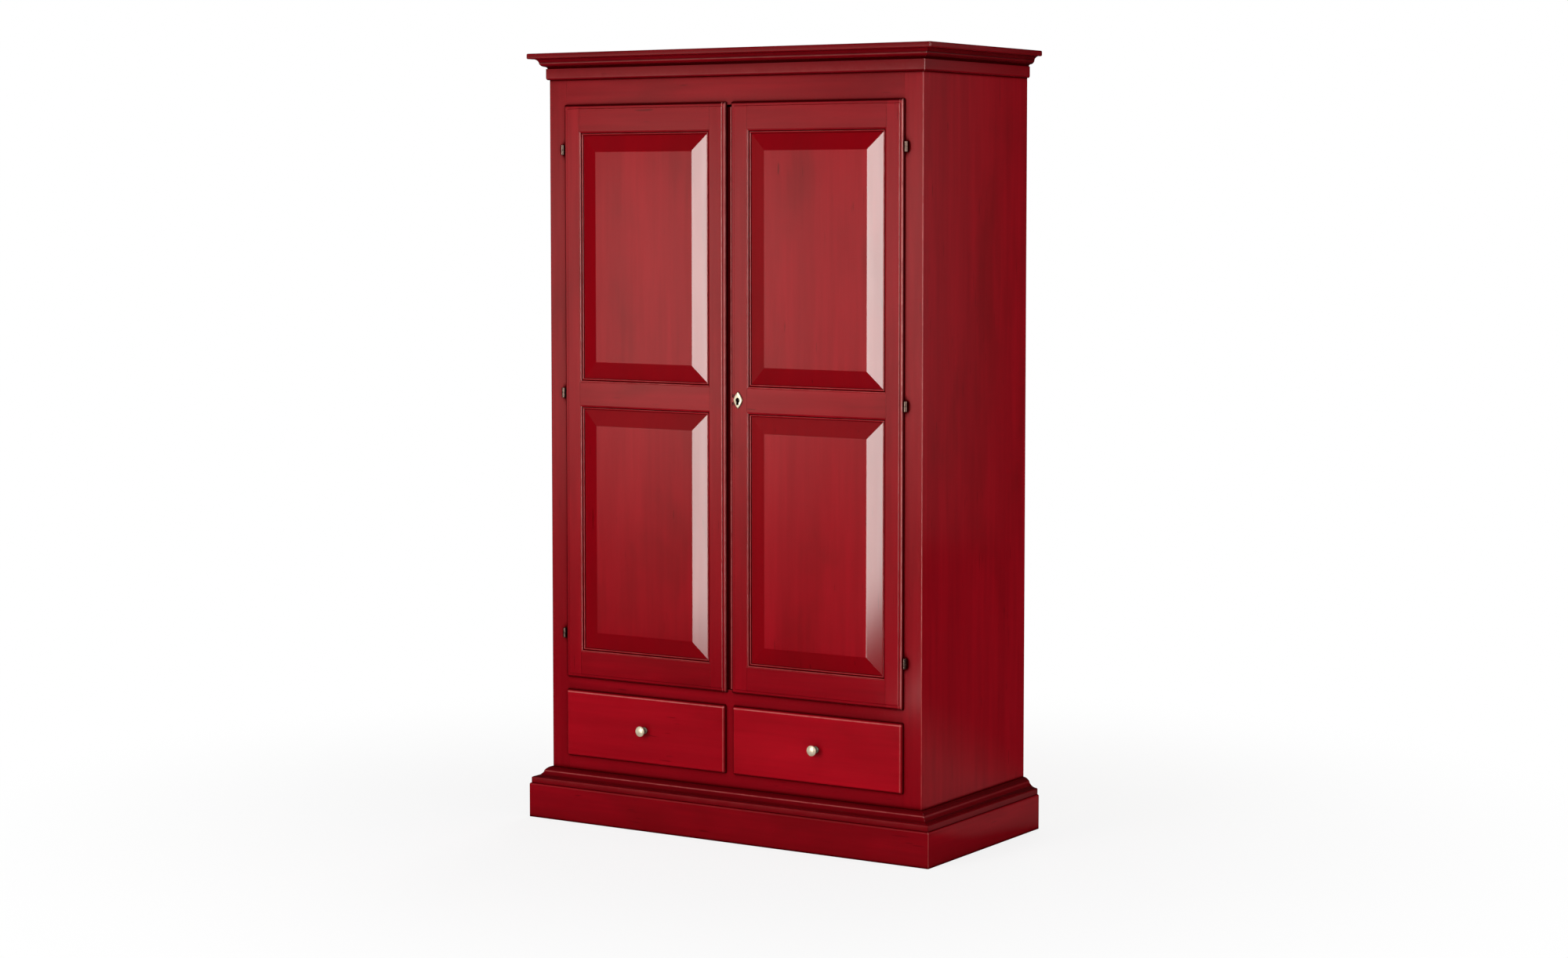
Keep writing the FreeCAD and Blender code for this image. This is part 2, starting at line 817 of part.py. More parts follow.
def sticking_cutter(name, z):
    """Step, ovolo, quirk and bead round a panel, as the waste in front of them."""
    edge = panelInner
    start = edge - s.stickWidth
    step = doorFace + s.stickStep
    ovoloX = start + s.stickFlat
    ovoloY = step + s.ovoloReach
    quirk = ovoloY + s.quirkDepth
    front = doorFace - s.overrun
    section = [
        (start, front),
        (start, step),
        (ovoloX, step),
        (ovoloX + s.ovoloReach, ovoloY),
        (ovoloX + s.ovoloReach, quirk),
        (edge - s.beadWidth, quirk),
        (edge, quirk),
        (edge + s.overrun, quirk),
        (edge + s.overrun, front),
    ]
    arcs = {2: (s.ovoloRadius, -1), 5: (s.beadRadius, -1)}
    return ring_cutter(name, (panelInner, panelOuter), z, section, arcs)


def rebate_cutter():
    """The rebate behind the lip, as a frame-shaped waste."""
    deep = (lipBack, s.doorBack + s.overrun)
    whole = block(
        "rebate_whole",
        (doorInner - s.overrun, doorOuter + s.overrun),
        deep,
        (doorLow - s.overrun, doorHigh + s.overrun),
    )
    inner = block(
        "rebate_inner",
        (doorInner + s.lipWidth, doorOuter - s.lipWidth),
        (lipBack - s.overrun, s.doorBack + s.overrun * 2),
        (doorLow + s.lipWidth, doorHigh - s.lipWidth),
    )
    return cut("rebate_cutter", whole, [inner])


def groove_cutter(name, z):
    """The groove round a panel, as the block that reaches to its bottom."""
    front = doorFace + s.grooveInset
    deep = s.grooveDepth
    x = (panelInner - deep, panelOuter + deep)
    return block(name, x, (front, front + s.grooveWidth), (z[0] - deep, z[1] + deep))


def door_member(name, x, z, cutters):
    """One stile or rail of the right door, shaped by the cutters."""
    blank = block(name + "_blank", x, (doorFace, s.doorBack), z)
    return cut(name, blank, cutters)


def raised_panel(name, z):
    """A raised and fielded panel whose tongue sits in the frame's groove."""
    tongue = s.tongueDepth
    back = doorFace + s.grooveInset + s.grooveWidth
    field = doorFace - s.fieldProud
    # the bevel goes on at its own slope to the edge of the tongue
    edgeFront = field + s.bevelDrop * (s.bevelWidth + tongue) / s.bevelWidth
    x = (panelInner - tongue, panelOuter + tongue)
    z = (z[0] - tongue, z[1] + tongue)
    plate = block(name + "_plate", x, (edgeFront, back), z)
    inset = s.bevelWidth + tongue
    wedge = doc.addObject("Part::Wedge", name + "_field")
    wide, tall = x[1] - x[0], z[1] - z[0]
    bind(wedge, {
        "Xmin": inset, "Xmax": wide - inset, "Zmin": inset, "Zmax": tall - inset,
        "X2min": zero, "X2max": wide, "Z2min": zero, "Z2max": tall,
        "Ymin": zero, "Ymax": edgeFront - field,
    })
    place(wedge, x[0], field, z[0])
    return fuse(name, [plate, wedge])


def right_door_parts():
    """The right door's members by name: two stiles, three rails and two panels."""
    panels = {"lower": (lowerPanelLow, lowerPanelHigh), "upper": (upperPanelLow, upperPanelHigh)}
    cutters = [outer_edge_cutter(), rebate_cutter()]
    for name, z in panels.items():
        cutters.append(sticking_cutter(name + "_sticking", z))
        cutters.append(groove_cutter(name + "_groove", z))
    full = (doorLow, doorHigh)
    between = (panelInner, panelOuter)
    parts = {
        "hinge_stile": door_member("hinge_stile", (panelOuter, doorOuter), full, cutters + stem_holes()),
        "meeting_stile": door_member("meeting_stile", (doorInner, panelInner), full, cutters),
        "door_top_rail": door_member("door_top", between, (upperPanelHigh, doorHigh), cutters),
        "door_middle_rail": door_member("door_middle", between, (lowerPanelHigh, upperPanelLow), cutters),
        "door_bottom_rail": door_member("door_bottom", between, (doorLow, lowerPanelLow), cutters),
    }
    for name, z in panels.items():
        parts[name + "_panel"] = raised_panel(name + "_raised", z)
    return parts


def stem_holes():
    """Holes in the hinge stile for the stems of the sleeves."""
    return [
        door_stem("door_hole" + str(index), s.stemRadius + s.pinFit, level, s.stemEndGap)
        for index, level in enumerate(hinge_levels())
    ]


def doors():
    """Both doors: the left one is the right one mirrored, without the lock's cuts."""
    for name, part in right_door_parts().items():
        keep(mirror("left_" + name, part), "left_" + name)
        if name == "meeting_stile":
            part = cut("right_meeting_stile", part, lock_cuts())
        keep(part, "right_" + name)
    inner, back = doorInner + s.lipWidth, s.doorBack
    strip = block(
        "meeting_strip",
        (-inner, doorInner - s.stripGap),
        (zero, back),
        (doorLow + s.lipWidth, doorHigh - s.lipWidth - s.stripDrop),
    )
    keep(strip, "meeting_strip")


# Lock

keyX = doorInner + s.keyInset


def keyhole(name, y):
    """Round hole with a slot below it, through a depth."""
    deep = y[1] - y[0]
    eye = rod(name + "_eye", s.keyholeRadius, deep, keyX, y[0], lockLevel, (0, 1, 0))
    half = s.keySlotWidth / 2
    slot = block(name + "_slot", (keyX - half, keyX + half), y, (lockLevel - s.keySlotDrop, lockLevel))
    return [eye, slot]


def lock_cuts():
    """The keyhole, and the dished hollow for a fingertip on the lip beside it."""
    scoop = doc.addObject("Part::Sphere", "scoop")
    bind(scoop, {"Radius": s.scoopRadius})
    place(scoop, doorInner - s.scoopOut, doorFace - s.scoopFront, lockLevel)
    return [scoop] + keyhole("stile_keyhole", (doorFace - s.overrun, s.doorBack + s.overrun))


def escutcheon():
    """A pointed, domed plate round the keyhole."""
    body = body_at("escutcheon_plate", keyX, doorFace, lockLevel)
    halfWide, halfTall = s.plateWidth / 2, s.plateHeight / 2
    corners = [(zero, -halfTall), (halfWide, zero), (zero, halfTall), (-halfWide, zero)]
    sides = {0: (s.plateHeight, -1), 1: (s.plateHeight, -1), 2: (s.plateHeight, -1), 3: (s.plateHeight, -1)}
    plate = pad(body, sketch_on(body, "XZ_Plane", corners, sides), s.plateThick)
    front = -s.plateThick.value
    round_edges(body, plate, lambda edge: edge_lies(edge, 1, front), s.plateBevel)
    hole = keyhole("plate_keyhole", (doorFace - s.plateThick - s.overrun, doorFace + s.overrun))
    keep(cut("key_escutcheon", body, hole), "key_escutcheon")


def lock():
    """The lock case behind the meeting stile, with its drill pin and its sliding bolt."""
    caseX = doorInner + s.lipWidth + s.lockInset
    caseY = s.doorBack
    halfTall = s.lockHeight / 2
    case = block(
        "case",
        (caseX, caseX + s.lockWidth),
        (caseY, caseY + s.lockThick),
        (lockLevel - halfTall, lockLevel + halfTall),
    )
    pinLength = caseY - doorFace
    drill = rod("drill_pin", s.drillPinRadius, pinLength, keyX, doorFace, lockLevel, (0, 1, 0))
    middle = caseY + s.lockThick / 2
    halfThick, halfWide = s.lockBoltThick / 2, s.lockBoltWidth / 2
    boltX = (caseX, caseX + s.lockThrow + s.lockBoltHold)
    gap = s.slideGap
    channel = block(
        "channel",
        (caseX - s.overrun, boltX[1] + s.slideGap),
        (middle - halfThick - gap, middle + halfThick + gap),
        (lockLevel - halfWide - gap, lockLevel + halfWide + gap),
    )
    keep(cut("lock_case", fuse("case_with_pin", [case, drill]), [channel]), "lock_case")
    bolt = block(
        "lock_bolt",
        boltX,
        (middle - halfThick, middle + halfThick),
        (lockLevel - halfWide, lockLevel + halfWide),
    )
    keep(bolt, "lock_bolt")


# Bolts of the left door

boltX = -(doorInner + s.boltInset)
boltY = s.frameThick + s.boltClear


def sliding_bolt(name, z, knobLevel):
    """A flat bar with a small turned knob on its inner side."""
    half = s.boltWidth / 2
    bar = block(name + "_bar", (boltX - half, boltX + half), (boltY, boltY + s.boltThick), z)
    knob = rod(name + "_knob", s.boltKnobRadius, s.boltThick / 2 + s.boltKnobLength, boltX,
               boltY + s.boltThick / 2, knobLevel, (0, 1, 0))
    keep(fuse(name, [bar, knob]), name)


def bolt_guide(name, z):
    """A plate on the door's back with two eyes that the bar slides in."""
    half = s.guideWidth / 2
    x = (boltX - half, boltX + half)
    plate = block(name + "_plate", x, (s.doorBack, s.doorBack + s.guidePlate), z)
    outer = boltY + s.boltThick + s.slideGap + s.guideEyeWall
    eyes = []
    for tag, low in (("low", z[0]), ("high", z[1] - s.guideEyeHeight)):
        eyes.append(block(name + "_eye_" + tag, x, (s.doorBack, outer), (low, low + s.guideEyeHeight)))
    gap = s.slideGap
    room = block(
        name + "_room",
        (boltX - s.boltWidth / 2 - gap, boltX + s.boltWidth / 2 + gap),
        (boltY - gap, boltY + s.boltThick + gap),
        (z[0] - s.overrun, z[1] + s.overrun),
    )
    return cut(name, fuse(name + "_whole", [plate] + eyes), [room])


def left_door_bolts():
    """The upper and the lower bolt, drawn back, and their guides."""
    high = doorHigh - s.lipWidth
    low = doorLow + s.lipWidth
    gap = s.boltEndGap / 2
    upper = (high - gap - s.boltLength, high - gap)
    lower = (low + gap, low + gap + s.boltLength)
    inset = (s.boltLength - s.guideLength) / 2
    sliding_bolt("upper_bolt", upper, (upper[0] + upper[1]) / 2 - s.boltThrow / 2)
    sliding_bolt("lower_bolt", lower, (lower[0] + lower[1]) / 2 + s.boltThrow / 2)
    guides = [
        bolt_guide("upper_guide", (upper[0] + inset, upper[1] - inset)),
        bolt_guide("lower_guide", (lower[0] + inset, lower[1] - inset)),
    ]
    keep(group("bolt_guides", guides), "bolt_guides")


# Drawers

drawerX = (s.muntinWidth / 2 - s.endLap, doorOuter)
drawerZ = (drawerFloor - s.endLap, drawerCeiling + s.endLap)
boxX = (s.muntinWidth / 2 + s.drawerSideGap, openX - s.drawerSideGap)
boxLow = drawerFloor + s.drawerRunGap
boxHigh = drawerCeiling - s.drawerTopGap
knobX = (drawerX[0] + drawerX[1]) / 2
knobZ = (drawerZ[0] + drawerZ[1]) / 2
boxEnd = backY - s.drawerEndGap


def drawer_front():
    """A lipped front with a soft round edge, grooved for the bottom and lapped for the sides."""
    body = body_at("drawer_front_board", drawerX[0], lipBack, drawerZ[0])
    wide, tall = drawerX[1] - drawerX[0], drawerZ[1] - drawerZ[0]
    corners = [(zero, zero), (wide, zero), (wide, tall), (zero, tall)]
    lip = pad(body, sketch_on(body, "XZ_Plane", corners), s.lipThick)
    face = -s.lipThick.value
    round_edges(body, lip, lambda edge: edge_lies(edge, 1, face), s.drawerRound)
    inner = block("front_inner", boxX, (lipBack, s.doorBack), (boxLow, boxHigh))
    whole = fuse("front_whole", [body, inner])
    laps = [drawer_side("front_lap" + str(index), x) for index, x in enumerate(side_limits())]
    hole = rod("knob_hole", s.spigotRadius + s.spigotFit, s.spigotLength + s.stemEndGap + s.overrun,
               knobX, doorFace - s.overrun, knobZ, (0, 1, 0))
    return cut("drawer_front", whole, laps + [drawer_bottom("front_groove"), hole])


def side_limits():
    """The x limits of the two sides of the right-hand drawer."""
    return [(boxX[0], boxX[0] + s.drawerSideThick), (boxX[1] - s.drawerSideThick, boxX[1])]


def drawer_side(name, x):
    """One side, from the lap in the front to the back end."""
    y = (s.doorBack - s.drawerLap, boxEnd)
    return block(name, x, y, (boxLow, boxHigh - s.drawerSideDrop))


def drawer_bottom(name):
    """The thin bottom that slides in grooves of the sides and the front."""
    bite = s.drawerBottomBite
    low = boxLow + s.drawerBottomRise
    x = (boxX[0] + s.drawerSideThick - bite, boxX[1] - s.drawerSideThick + bite)
    y = (s.doorBack - bite, boxEnd)
    return block(name, x, y, (low, low + s.drawerBottomThick))


def drawer_back():
    """The back, which stands on the bottom between the sides."""
    low = boxLow + s.drawerBottomRise + s.drawerBottomThick
    x = (boxX[0] + s.drawerSideThick, boxX[1] - s.drawerSideThick)
    z = (low, boxHigh - s.drawerSideDrop * 2)
    return block("drawer_back", x, (boxEnd - s.drawerSideThick, boxEnd), z)


def knob():
    """A turned mushroom knob: foot, neck and a domed head with a rounded rim."""
    body = body_at("knob_turning", knobX, doorFace, knobZ)
    reach, rim = s.knobReach, s.knobRim
    shoulder = reach - rim * 2
    half = [
        (zero, s.spigotLength),
        (s.spigotRadius, s.spigotLength),
        (s.spigotRadius, zero),
        (s.knobFoot, zero),
        (s.knobFoot, -s.knobFootThick),
        (s.knobNeck, -s.knobNeckReach),
        (s.knobNeck, -(shoulder - rim / 2)),
        (s.knobRadius, -(shoulder + rim / 2)),
        (s.knobRadius - rim / 4, -(reach - rim)),
        (zero, -reach),
    ]
    # the dome's centre lies on the axis, so its radius follows from its width and its rise
    halfDome = s.knobRadius - rim / 4
    dome = (halfDome * halfDome + rim * rim) / (rim * 2)
    arcs = {4: (s.knobNeckReach, -1), 6: (s.knobRadius, -1), 7: (rim, 1), 8: (dome, 1)}
    outline = sketch_on(body, "XY_Plane", half, arcs)
    turning = body.newObject("PartDesign::Revolution", "knob_turn")
    turning.Profile = outline
    turning.ReferenceAxis = (outline, ["V_Axis"])
    turning.Angle = 360
    return body


def drawers():
    """Both drawers: the left one is the right one mirrored."""
    bottom = drawer_bottom("drawer_bottom")
    sides = [
        cut("drawer_side" + str(index), drawer_side("side_board" + str(index), x), [bottom])
        for index, x in enumerate(side_limits())
    ]
    parts = {
        "drawer_front": drawer_front(),
        "drawer_sides": group("drawer_sides", sides),
        "drawer_back": drawer_back(),
        "drawer_bottom": bottom,
        "drawer_knob": knob(),
    }
    for name, part in parts.items():
        keep(part, "right_" + name)
        keep(mirror("left_" + name, part), "left_" + name)


def check_document():
    """Stops if any object failed, or if a kept piece is empty or broken."""
    for item in doc.Objects:
        bad = [state for state in item.State if state in ("Invalid", "Error")]
        if bad:
            raise RuntimeError(item.Name + " failed: " + ", ".join(item.State))
    for item in kept:
        if item.Shape.isNull() or not item.Shape.isValid() or not item.Shape.Solids:
            raise RuntimeError(item.Label + " has no valid solid")


def export_pieces():
    """Writes each kept piece to its own file."""
    os.makedirs("parts", exist_ok=True)
    for item in kept:
        item.Shape.exportStep("parts/" + item.Label + ".step")
        print(item.Label, len(item.Shape.Solids), round(item.Shape.Volume))


plinth()
plinth_cap()
cornice()
face_frame()
carcass()
hanging_fittings()
hinges()
doors()
escutcheon()
lock()
left_door_bolts()
drawers()
doc.recompute()
check_document()
export_pieces()
print("pieces", len(kept))
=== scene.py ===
import math
from types import SimpleNamespace

import bmesh
import bpy
import numpy as np
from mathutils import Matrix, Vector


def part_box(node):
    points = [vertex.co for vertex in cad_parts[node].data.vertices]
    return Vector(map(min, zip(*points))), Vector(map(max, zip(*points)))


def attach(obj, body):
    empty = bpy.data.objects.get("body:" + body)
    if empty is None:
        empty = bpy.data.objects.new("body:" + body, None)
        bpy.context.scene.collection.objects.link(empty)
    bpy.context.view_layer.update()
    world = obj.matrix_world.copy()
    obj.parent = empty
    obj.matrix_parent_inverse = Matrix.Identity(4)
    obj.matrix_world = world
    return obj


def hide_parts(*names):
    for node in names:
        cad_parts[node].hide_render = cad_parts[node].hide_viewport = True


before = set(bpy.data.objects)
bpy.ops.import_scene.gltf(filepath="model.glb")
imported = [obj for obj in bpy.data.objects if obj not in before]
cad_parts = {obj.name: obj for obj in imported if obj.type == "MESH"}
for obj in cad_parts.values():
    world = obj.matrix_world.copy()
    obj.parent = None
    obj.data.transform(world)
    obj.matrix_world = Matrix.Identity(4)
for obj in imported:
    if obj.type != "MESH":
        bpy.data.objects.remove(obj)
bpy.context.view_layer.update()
mm = 0.001
print("frame loaded:", len(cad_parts), "nodes")


# Where things stand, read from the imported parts

def low(node):
    return np.array(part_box(node)[0])


def high(node):
    return np.array(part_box(node)[1])


faceY = low("right_front_stile")[1]          # front face of the face frame
backY = high("back_panel")[1]
halfBody, bodyLow, bodyHigh = high("right_side_panel")[0], low("right_side_panel")[2], high("right_side_panel")[2]
doorX = (low("right_meeting_stile")[0], high("right_hinge_stile")[0])
doorZ = (low("right_hinge_stile")[2], high("right_hinge_stile")[2])
openingX = (high("right_meeting_stile")[0], low("right_hinge_stile")[0])
openings = {
    "lower": (high("right_door_bottom_rail")[2], low("right_door_middle_rail")[2]),
    "upper": (high("right_door_middle_rail")[2], low("right_door_top_rail")[2]),
}
lockCentre = (low("key_escutcheon") + high("key_escutcheon")) / 2
lockCentre[1] = faceY - 8 * mm
lockX, _, lockZ = lockCentre
mirror = np.array([-1, 1, 1])
hair = np.array([-5e-6, 5e-6])               # two grid lines this close make a square step


# Shader trees

def feed(made, inputs):
    # gives each named input a value, or a link from another node's output
    for key, value in inputs.items():
        if isinstance(value, bpy.types.NodeSocket):
            made.id_data.links.new(value, made.inputs[key])
        else:
            made.inputs[key].default_value = value


def addNode(kind, inputs, tree=None, **settings):
    # a node with its settings and inputs, in the tree of the first output that feeds it; gives its outputs
    tree = tree or next(value.id_data for value in inputs.values() if isinstance(value, bpy.types.NodeSocket))
    made = tree.nodes.new(kind)
    for key, value in settings.items():
        setattr(made, key, value)
    feed(made, inputs)
    return made.outputs


def calc(operation, first, second=0.0, third=0.0, clamp=False):
    return addNode("ShaderNodeMath", {0: first, 1: second, 2: third}, operation=operation, use_clamp=clamp)[0]


def times(first, second):
    return calc("MULTIPLY", first, second)


def timesPlus(first, second, third, clamp=False):
    return calc("MULTIPLY_ADD", first, second, third, clamp)


def blend(factor, first, second):
    return addNode("ShaderNodeMix", {0: factor, 6: first, 7: second}, data_type="RGBA")[2]


def spread(value, fromLow, fromHigh, toLow=0.0, toHigh=1.0):
    return addNode("ShaderNodeMapRange", {0: value, 1: fromLow, 2: fromHigh, 3: toLow, 4: toHigh},
                   interpolation_type="SMOOTHSTEP")[0]


def noise(vector, scale, detail, rough, warp=0.0):
    return addNode("ShaderNodeTexNoise", {"Vector": vector, "Scale": scale, "Detail": detail, "Roughness": rough,
                                          "Distortion": warp})["Fac"]


def bump(height, strength, distance):
    return addNode("ShaderNodeBump", {"Height": height, "Strength": strength, "Distance": distance})[0]


def objectPlace(tree):
    return addNode("ShaderNodeTexCoord", {}, tree)["Object"]


def meshShare(tree, label):
    # a share that the mesh carries under this name
    return addNode("ShaderNodeAttribute", {}, tree, attribute_name=label)["Fac"]


def openGroup(name, inputs):
    # an empty group with named inputs, each a name, a kind and a first value
    tree = bpy.data.node_groups.new(name, "ShaderNodeTree")
    for label, kind, value in inputs:
        socket = tree.interface.new_socket(label, in_out="INPUT", socket_type="NodeSocket" + kind)
        if value is not None:
            socket.default_value = value
    return tree, tree.nodes.new("NodeGroupInput").outputs


def closeGroup(tree, results):
    for label in results:
        tree.interface.new_socket(label, in_out="OUTPUT", socket_type="NodeSocketFloat")
    feed(tree.nodes.new("NodeGroupOutput"), results)
    return tree


figureValues = {
    # noises: length along the grain, scale, detail, roughness and warp; the checks also have patches where they lie
    "streaks": (0.05, 70, 5, 0.62), "rings": (0.09, 4.2, 2, 0.45), "bands": (0.07, 15, 2, 0.5),
    "checks": (0.06, 190, 1, 0.4), "blotches": (0.42, 5.5, 3, 0.55, 0.3), "fine": (0.022, 420, 4, 0.6),
    "patches": (7, 1, 0.4),
    # the span of each that counts, and what streaks, fine streaks and rings add to the height
    "streakSpan": (0.3, 0.72), "ringSpan": (0.15, 1.0), "bandSpan": (0.35, 0.65), "checkSpan": (0.70, 0.76),
    "patchSpan": (0.54, 0.62), "blotchSpan": (0.46, 0.74), "heights": (0.35, 0.4, 0.10),
}


def makeFigureGroup():
    # softwood figure with the grain along Z: fine streaks, growth rings that wander, broad soft bands of stain
    # along the grain, a few short dark checks, and blotches
    v = SimpleNamespace(**figureValues)
    tree, given = openGroup("woodFigure", [("Vector", "Vector", None), ("Ring Spacing", "Float", 22.0)])

    def grain(along, *looks):
        # a noise drawn out along the grain
        stretched = addNode("ShaderNodeMapping", {"Vector": given["Vector"], "Scale": (1, 1, along)})[0]
        return noise(stretched, *looks)

    streaks = grain(*v.streaks)
    turns = times(grain(*v.rings), given["Ring Spacing"])
    ring = spread(calc("PINGPONG", turns, 1.0), *v.ringSpan)
    patches = spread(noise(given["Vector"], *v.patches), *v.patchSpan)
    streakHeight, fineHeight, ringHeight = v.heights
    height = timesPlus(streaks, streakHeight, times(grain(*v.fine), fineHeight))
    return closeGroup(tree, {
        "Streaks": spread(streaks, *v.streakSpan), "Rings": ring, "Bands": spread(grain(*v.bands), *v.bandSpan),
        "Checks": times(spread(grain(*v.checks), *v.checkSpan), patches),
        "Blotches": spread(grain(*v.blotches), *v.blotchSpan), "Height": timesPlus(ring, ringHeight, height)})


wearHighlightAndShadeValues = {
    # patches of the wear and painted highlight; the spans of openness for these, for the painted shade in hollows and
    # for that in wide hollows; the wide search and the power
    "patches": (26, 4, 0.65), "patchSpan": (0.36, 0.62), "openSpan": (0.55, 0.85), "creaseSpan": (0.94, 0.64),
    "glazeSpan": (0.92, 0.55), "wide": 0.06, "power": 1.6,
}


def makeWearHighlightAndShadeGroup():
    # how far an arris is rubbed or carries a painted highlight, from the mesh's own share of these, and how deep a
    # hollow lies, for painted shade in creases and a wider glaze with painted shade
    v = SimpleNamespace(**wearHighlightAndShadeValues)
    tree, given = openGroup("arrisWear", [("Vector", "Vector", None), ("Patchiness", "Float", 0.5)])
    near = addNode("ShaderNodeAmbientOcclusion", {"Distance": meshShare(tree, "creaseReach")}, samples=8)["AO"]
    wide = addNode("ShaderNodeAmbientOcclusion", {"Distance": v.wide}, tree, samples=6)["AO"]
    patchy = spread(noise(given["Vector"], *v.patches), *v.patchSpan)
    patchy = timesPlus(calc("SUBTRACT", patchy, 1.0), given["Patchiness"], 1.0)
    outer = times(spread(near, *v.openSpan), patchy)
    mask = calc("MULTIPLY", calc("POWER", meshShare(tree, "rub"), v.power), outer, clamp=True)
    crease, glaze = spread(near, *v.creaseSpan), spread(wide, *v.glazeSpan)
    return closeGroup(tree, {"Mask": mask, "Crease": crease, "Glaze": glaze})


woodFigure = makeFigureGroup()
arrisWear = makeWearHighlightAndShadeGroup()


def emptyTree(owner):
    owner.use_nodes = True
    owner.node_tree.nodes.clear()
    return owner.node_tree


def newMaterial(name):
    material = bpy.data.materials.new(name)
    return material, emptyTree(material)


def surface(tree, kind, inputs):
    # the last shader of a material, joined to its output
    addNode("ShaderNodeOutputMaterial", {0: addNode(kind, inputs, tree)[0]})


# Grain runs along Z in the figure, so X and Y boards are turned onto it
grainTurn = {"upright": (0, 0, 0), "across": (0, math.pi / 2, 0), "deep": (math.pi / 2, 0, 0)}


def woodLooks(tree, grain, spacing, patchiness):
    # object coordinates turned to the grain and shifted by the board's own number, and the figure, the wear with its
    # painted highlight, and the painted shade there
    number = meshShare(tree, "boardNumber")
    shift = addNode("ShaderNodeCombineXYZ", {0: number, 1: times(number, 0.7), 2: number})[0]
    moved = addNode("ShaderNodeVectorMath", {0: objectPlace(tree), 1: shift}, operation="ADD")[0]
    vector = addNode("ShaderNodeMapping", {"Vector": moved, "Rotation": grainTurn[grain]})[0]
    return (addNode("ShaderNodeGroup", {"Vector": vector, "Ring Spacing": spacing}, node_tree=woodFigure),
            addNode("ShaderNodeGroup", {"Vector": vector, "Patchiness": patchiness}, node_tree=arrisWear))


stain = {
    # sloped is a deeper stain on the panels' sloped borders, partly painted shade
    "base": (0.310, 0.0024, 0.0085, 1), "sloped": (0.215, 0.0003, 0.0034, 1), "deep": (0.170, 0.0008, 0.0040, 1),
    # brown darkens blotches and lays a glaze with painted shade near other parts; rubbed is wear with a painted
    # highlight; grime is dirt with painted shade in creases
    "brown": (0.130, 0.0020, 0.0030, 1), "rubbed": (0.64, 0.17, 0.155, 1), "grime": (0.035, 0.0002, 0.0004, 1),
    # how much of each tint is laid over the base, first for streaks, rings, blotches with the glaze and painted
    # shade, and bands
    "tints": (0.30, 0.10, 0.45, 0.30), "glaze": 1.1, "checks": 0.5, "grimeShare": 0.95, "rubbedShare": 0.85,
    # ring spacing, patchiness, roughness with its change by the streaks, varnish, and the strength of the bumps
    "spacing": 24.0, "patchiness": 0.45, "rough": (0.1, 0.4), "streakCoat": -0.10, "creaseCoat": -1.5,
    "gloss": 0.11, "bump": (0.10, 0.0004),
}


def stainedWood(name, grain):
    # stain over softwood under varnish: paler where it is rubbed on flats and where a highlight is painted on
    # arrises, deeper in the sloped borders, partly as painted shade; creases get grime with painted shade
    v = SimpleNamespace(**stain)
    material, tree = newMaterial(name)
    figure, wear = woodLooks(tree, grain, v.spacing, v.patchiness)
    colour = blend(meshShare(tree, "sloped"), v.base, v.sloped)
    # blotches, and a glaze with painted shade where other parts stand near
    shade = calc("MAXIMUM", figure["Blotches"], times(wear["Glaze"], v.glaze), clamp=True)
    shares = (figure["Streaks"], figure["Rings"], shade, figure["Bands"])
    for share, amount, tint in zip(shares, v.tints, (v.deep, v.deep, v.brown, v.deep)):
        colour = blend(times(share, amount), colour, tint)
    colour = addNode("ShaderNodeVectorMath", {0: colour, "Scale": meshShare(tree, "tone")}, operation="SCALE")[0]
    # grime and painted shade in creases, with the dark checks of the wood
    dark = calc("MAXIMUM", wear["Crease"], times(figure["Checks"], v.checks))
    colour = blend(times(dark, v.grimeShare), colour, v.grime)
    # wear with a painted highlight: the rubbed colour where arrises are worn or catch the light
    colour = blend(times(wear["Mask"], v.rubbedShare), colour, v.rubbed)
    coat = timesPlus(figure["Streaks"], v.streakCoat, timesPlus(wear["Crease"], v.creaseCoat, 1.0, True), True)
    surface(tree, "ShaderNodeBsdfPrincipled", {
        "Base Color": colour, "Roughness": timesPlus(figure["Streaks"], *v.rough), "Specular IOR Level": 0.0,
        "Coat Weight": times(coat, meshShare(tree, "varnish")), "Coat Roughness": v.gloss, "Coat IOR": 1.5,
        "Normal": bump(figure["Height"], *v.bump)})
    return material


bare = {"base": (0.60, 0.39, 0.20, 1), "deep": (0.40, 0.21, 0.085, 1), "grime": (0.20, 0.11, 0.05, 1),
        "tints": (0.32, 0.25), "grimeShare": 0.6, "spacing": 34.0, "patchiness": 0.3, "rough": (0.14, 0.42),
        "bump": (0.25, 0.0006)}


def bareWood(name, grain):
    v = SimpleNamespace(**bare)
    material, tree = newMaterial(name)
    figure, wear = woodLooks(tree, grain, v.spacing, v.patchiness)
    colour = blend(times(figure["Rings"], v.tints[0]), v.base, v.deep)
    colour = blend(times(figure["Streaks"], v.tints[1]), colour, v.deep)
    # grime and painted shade in the creases of the bare wood inside
    colour = blend(times(wear["Crease"], v.grimeShare), colour, v.grime)
    surface(tree, "ShaderNodeBsdfPrincipled", {
        "Base Color": colour, "Roughness": timesPlus(figure["Streaks"], *v.rough),
        "Normal": bump(figure["Height"], *v.bump)})
    return material


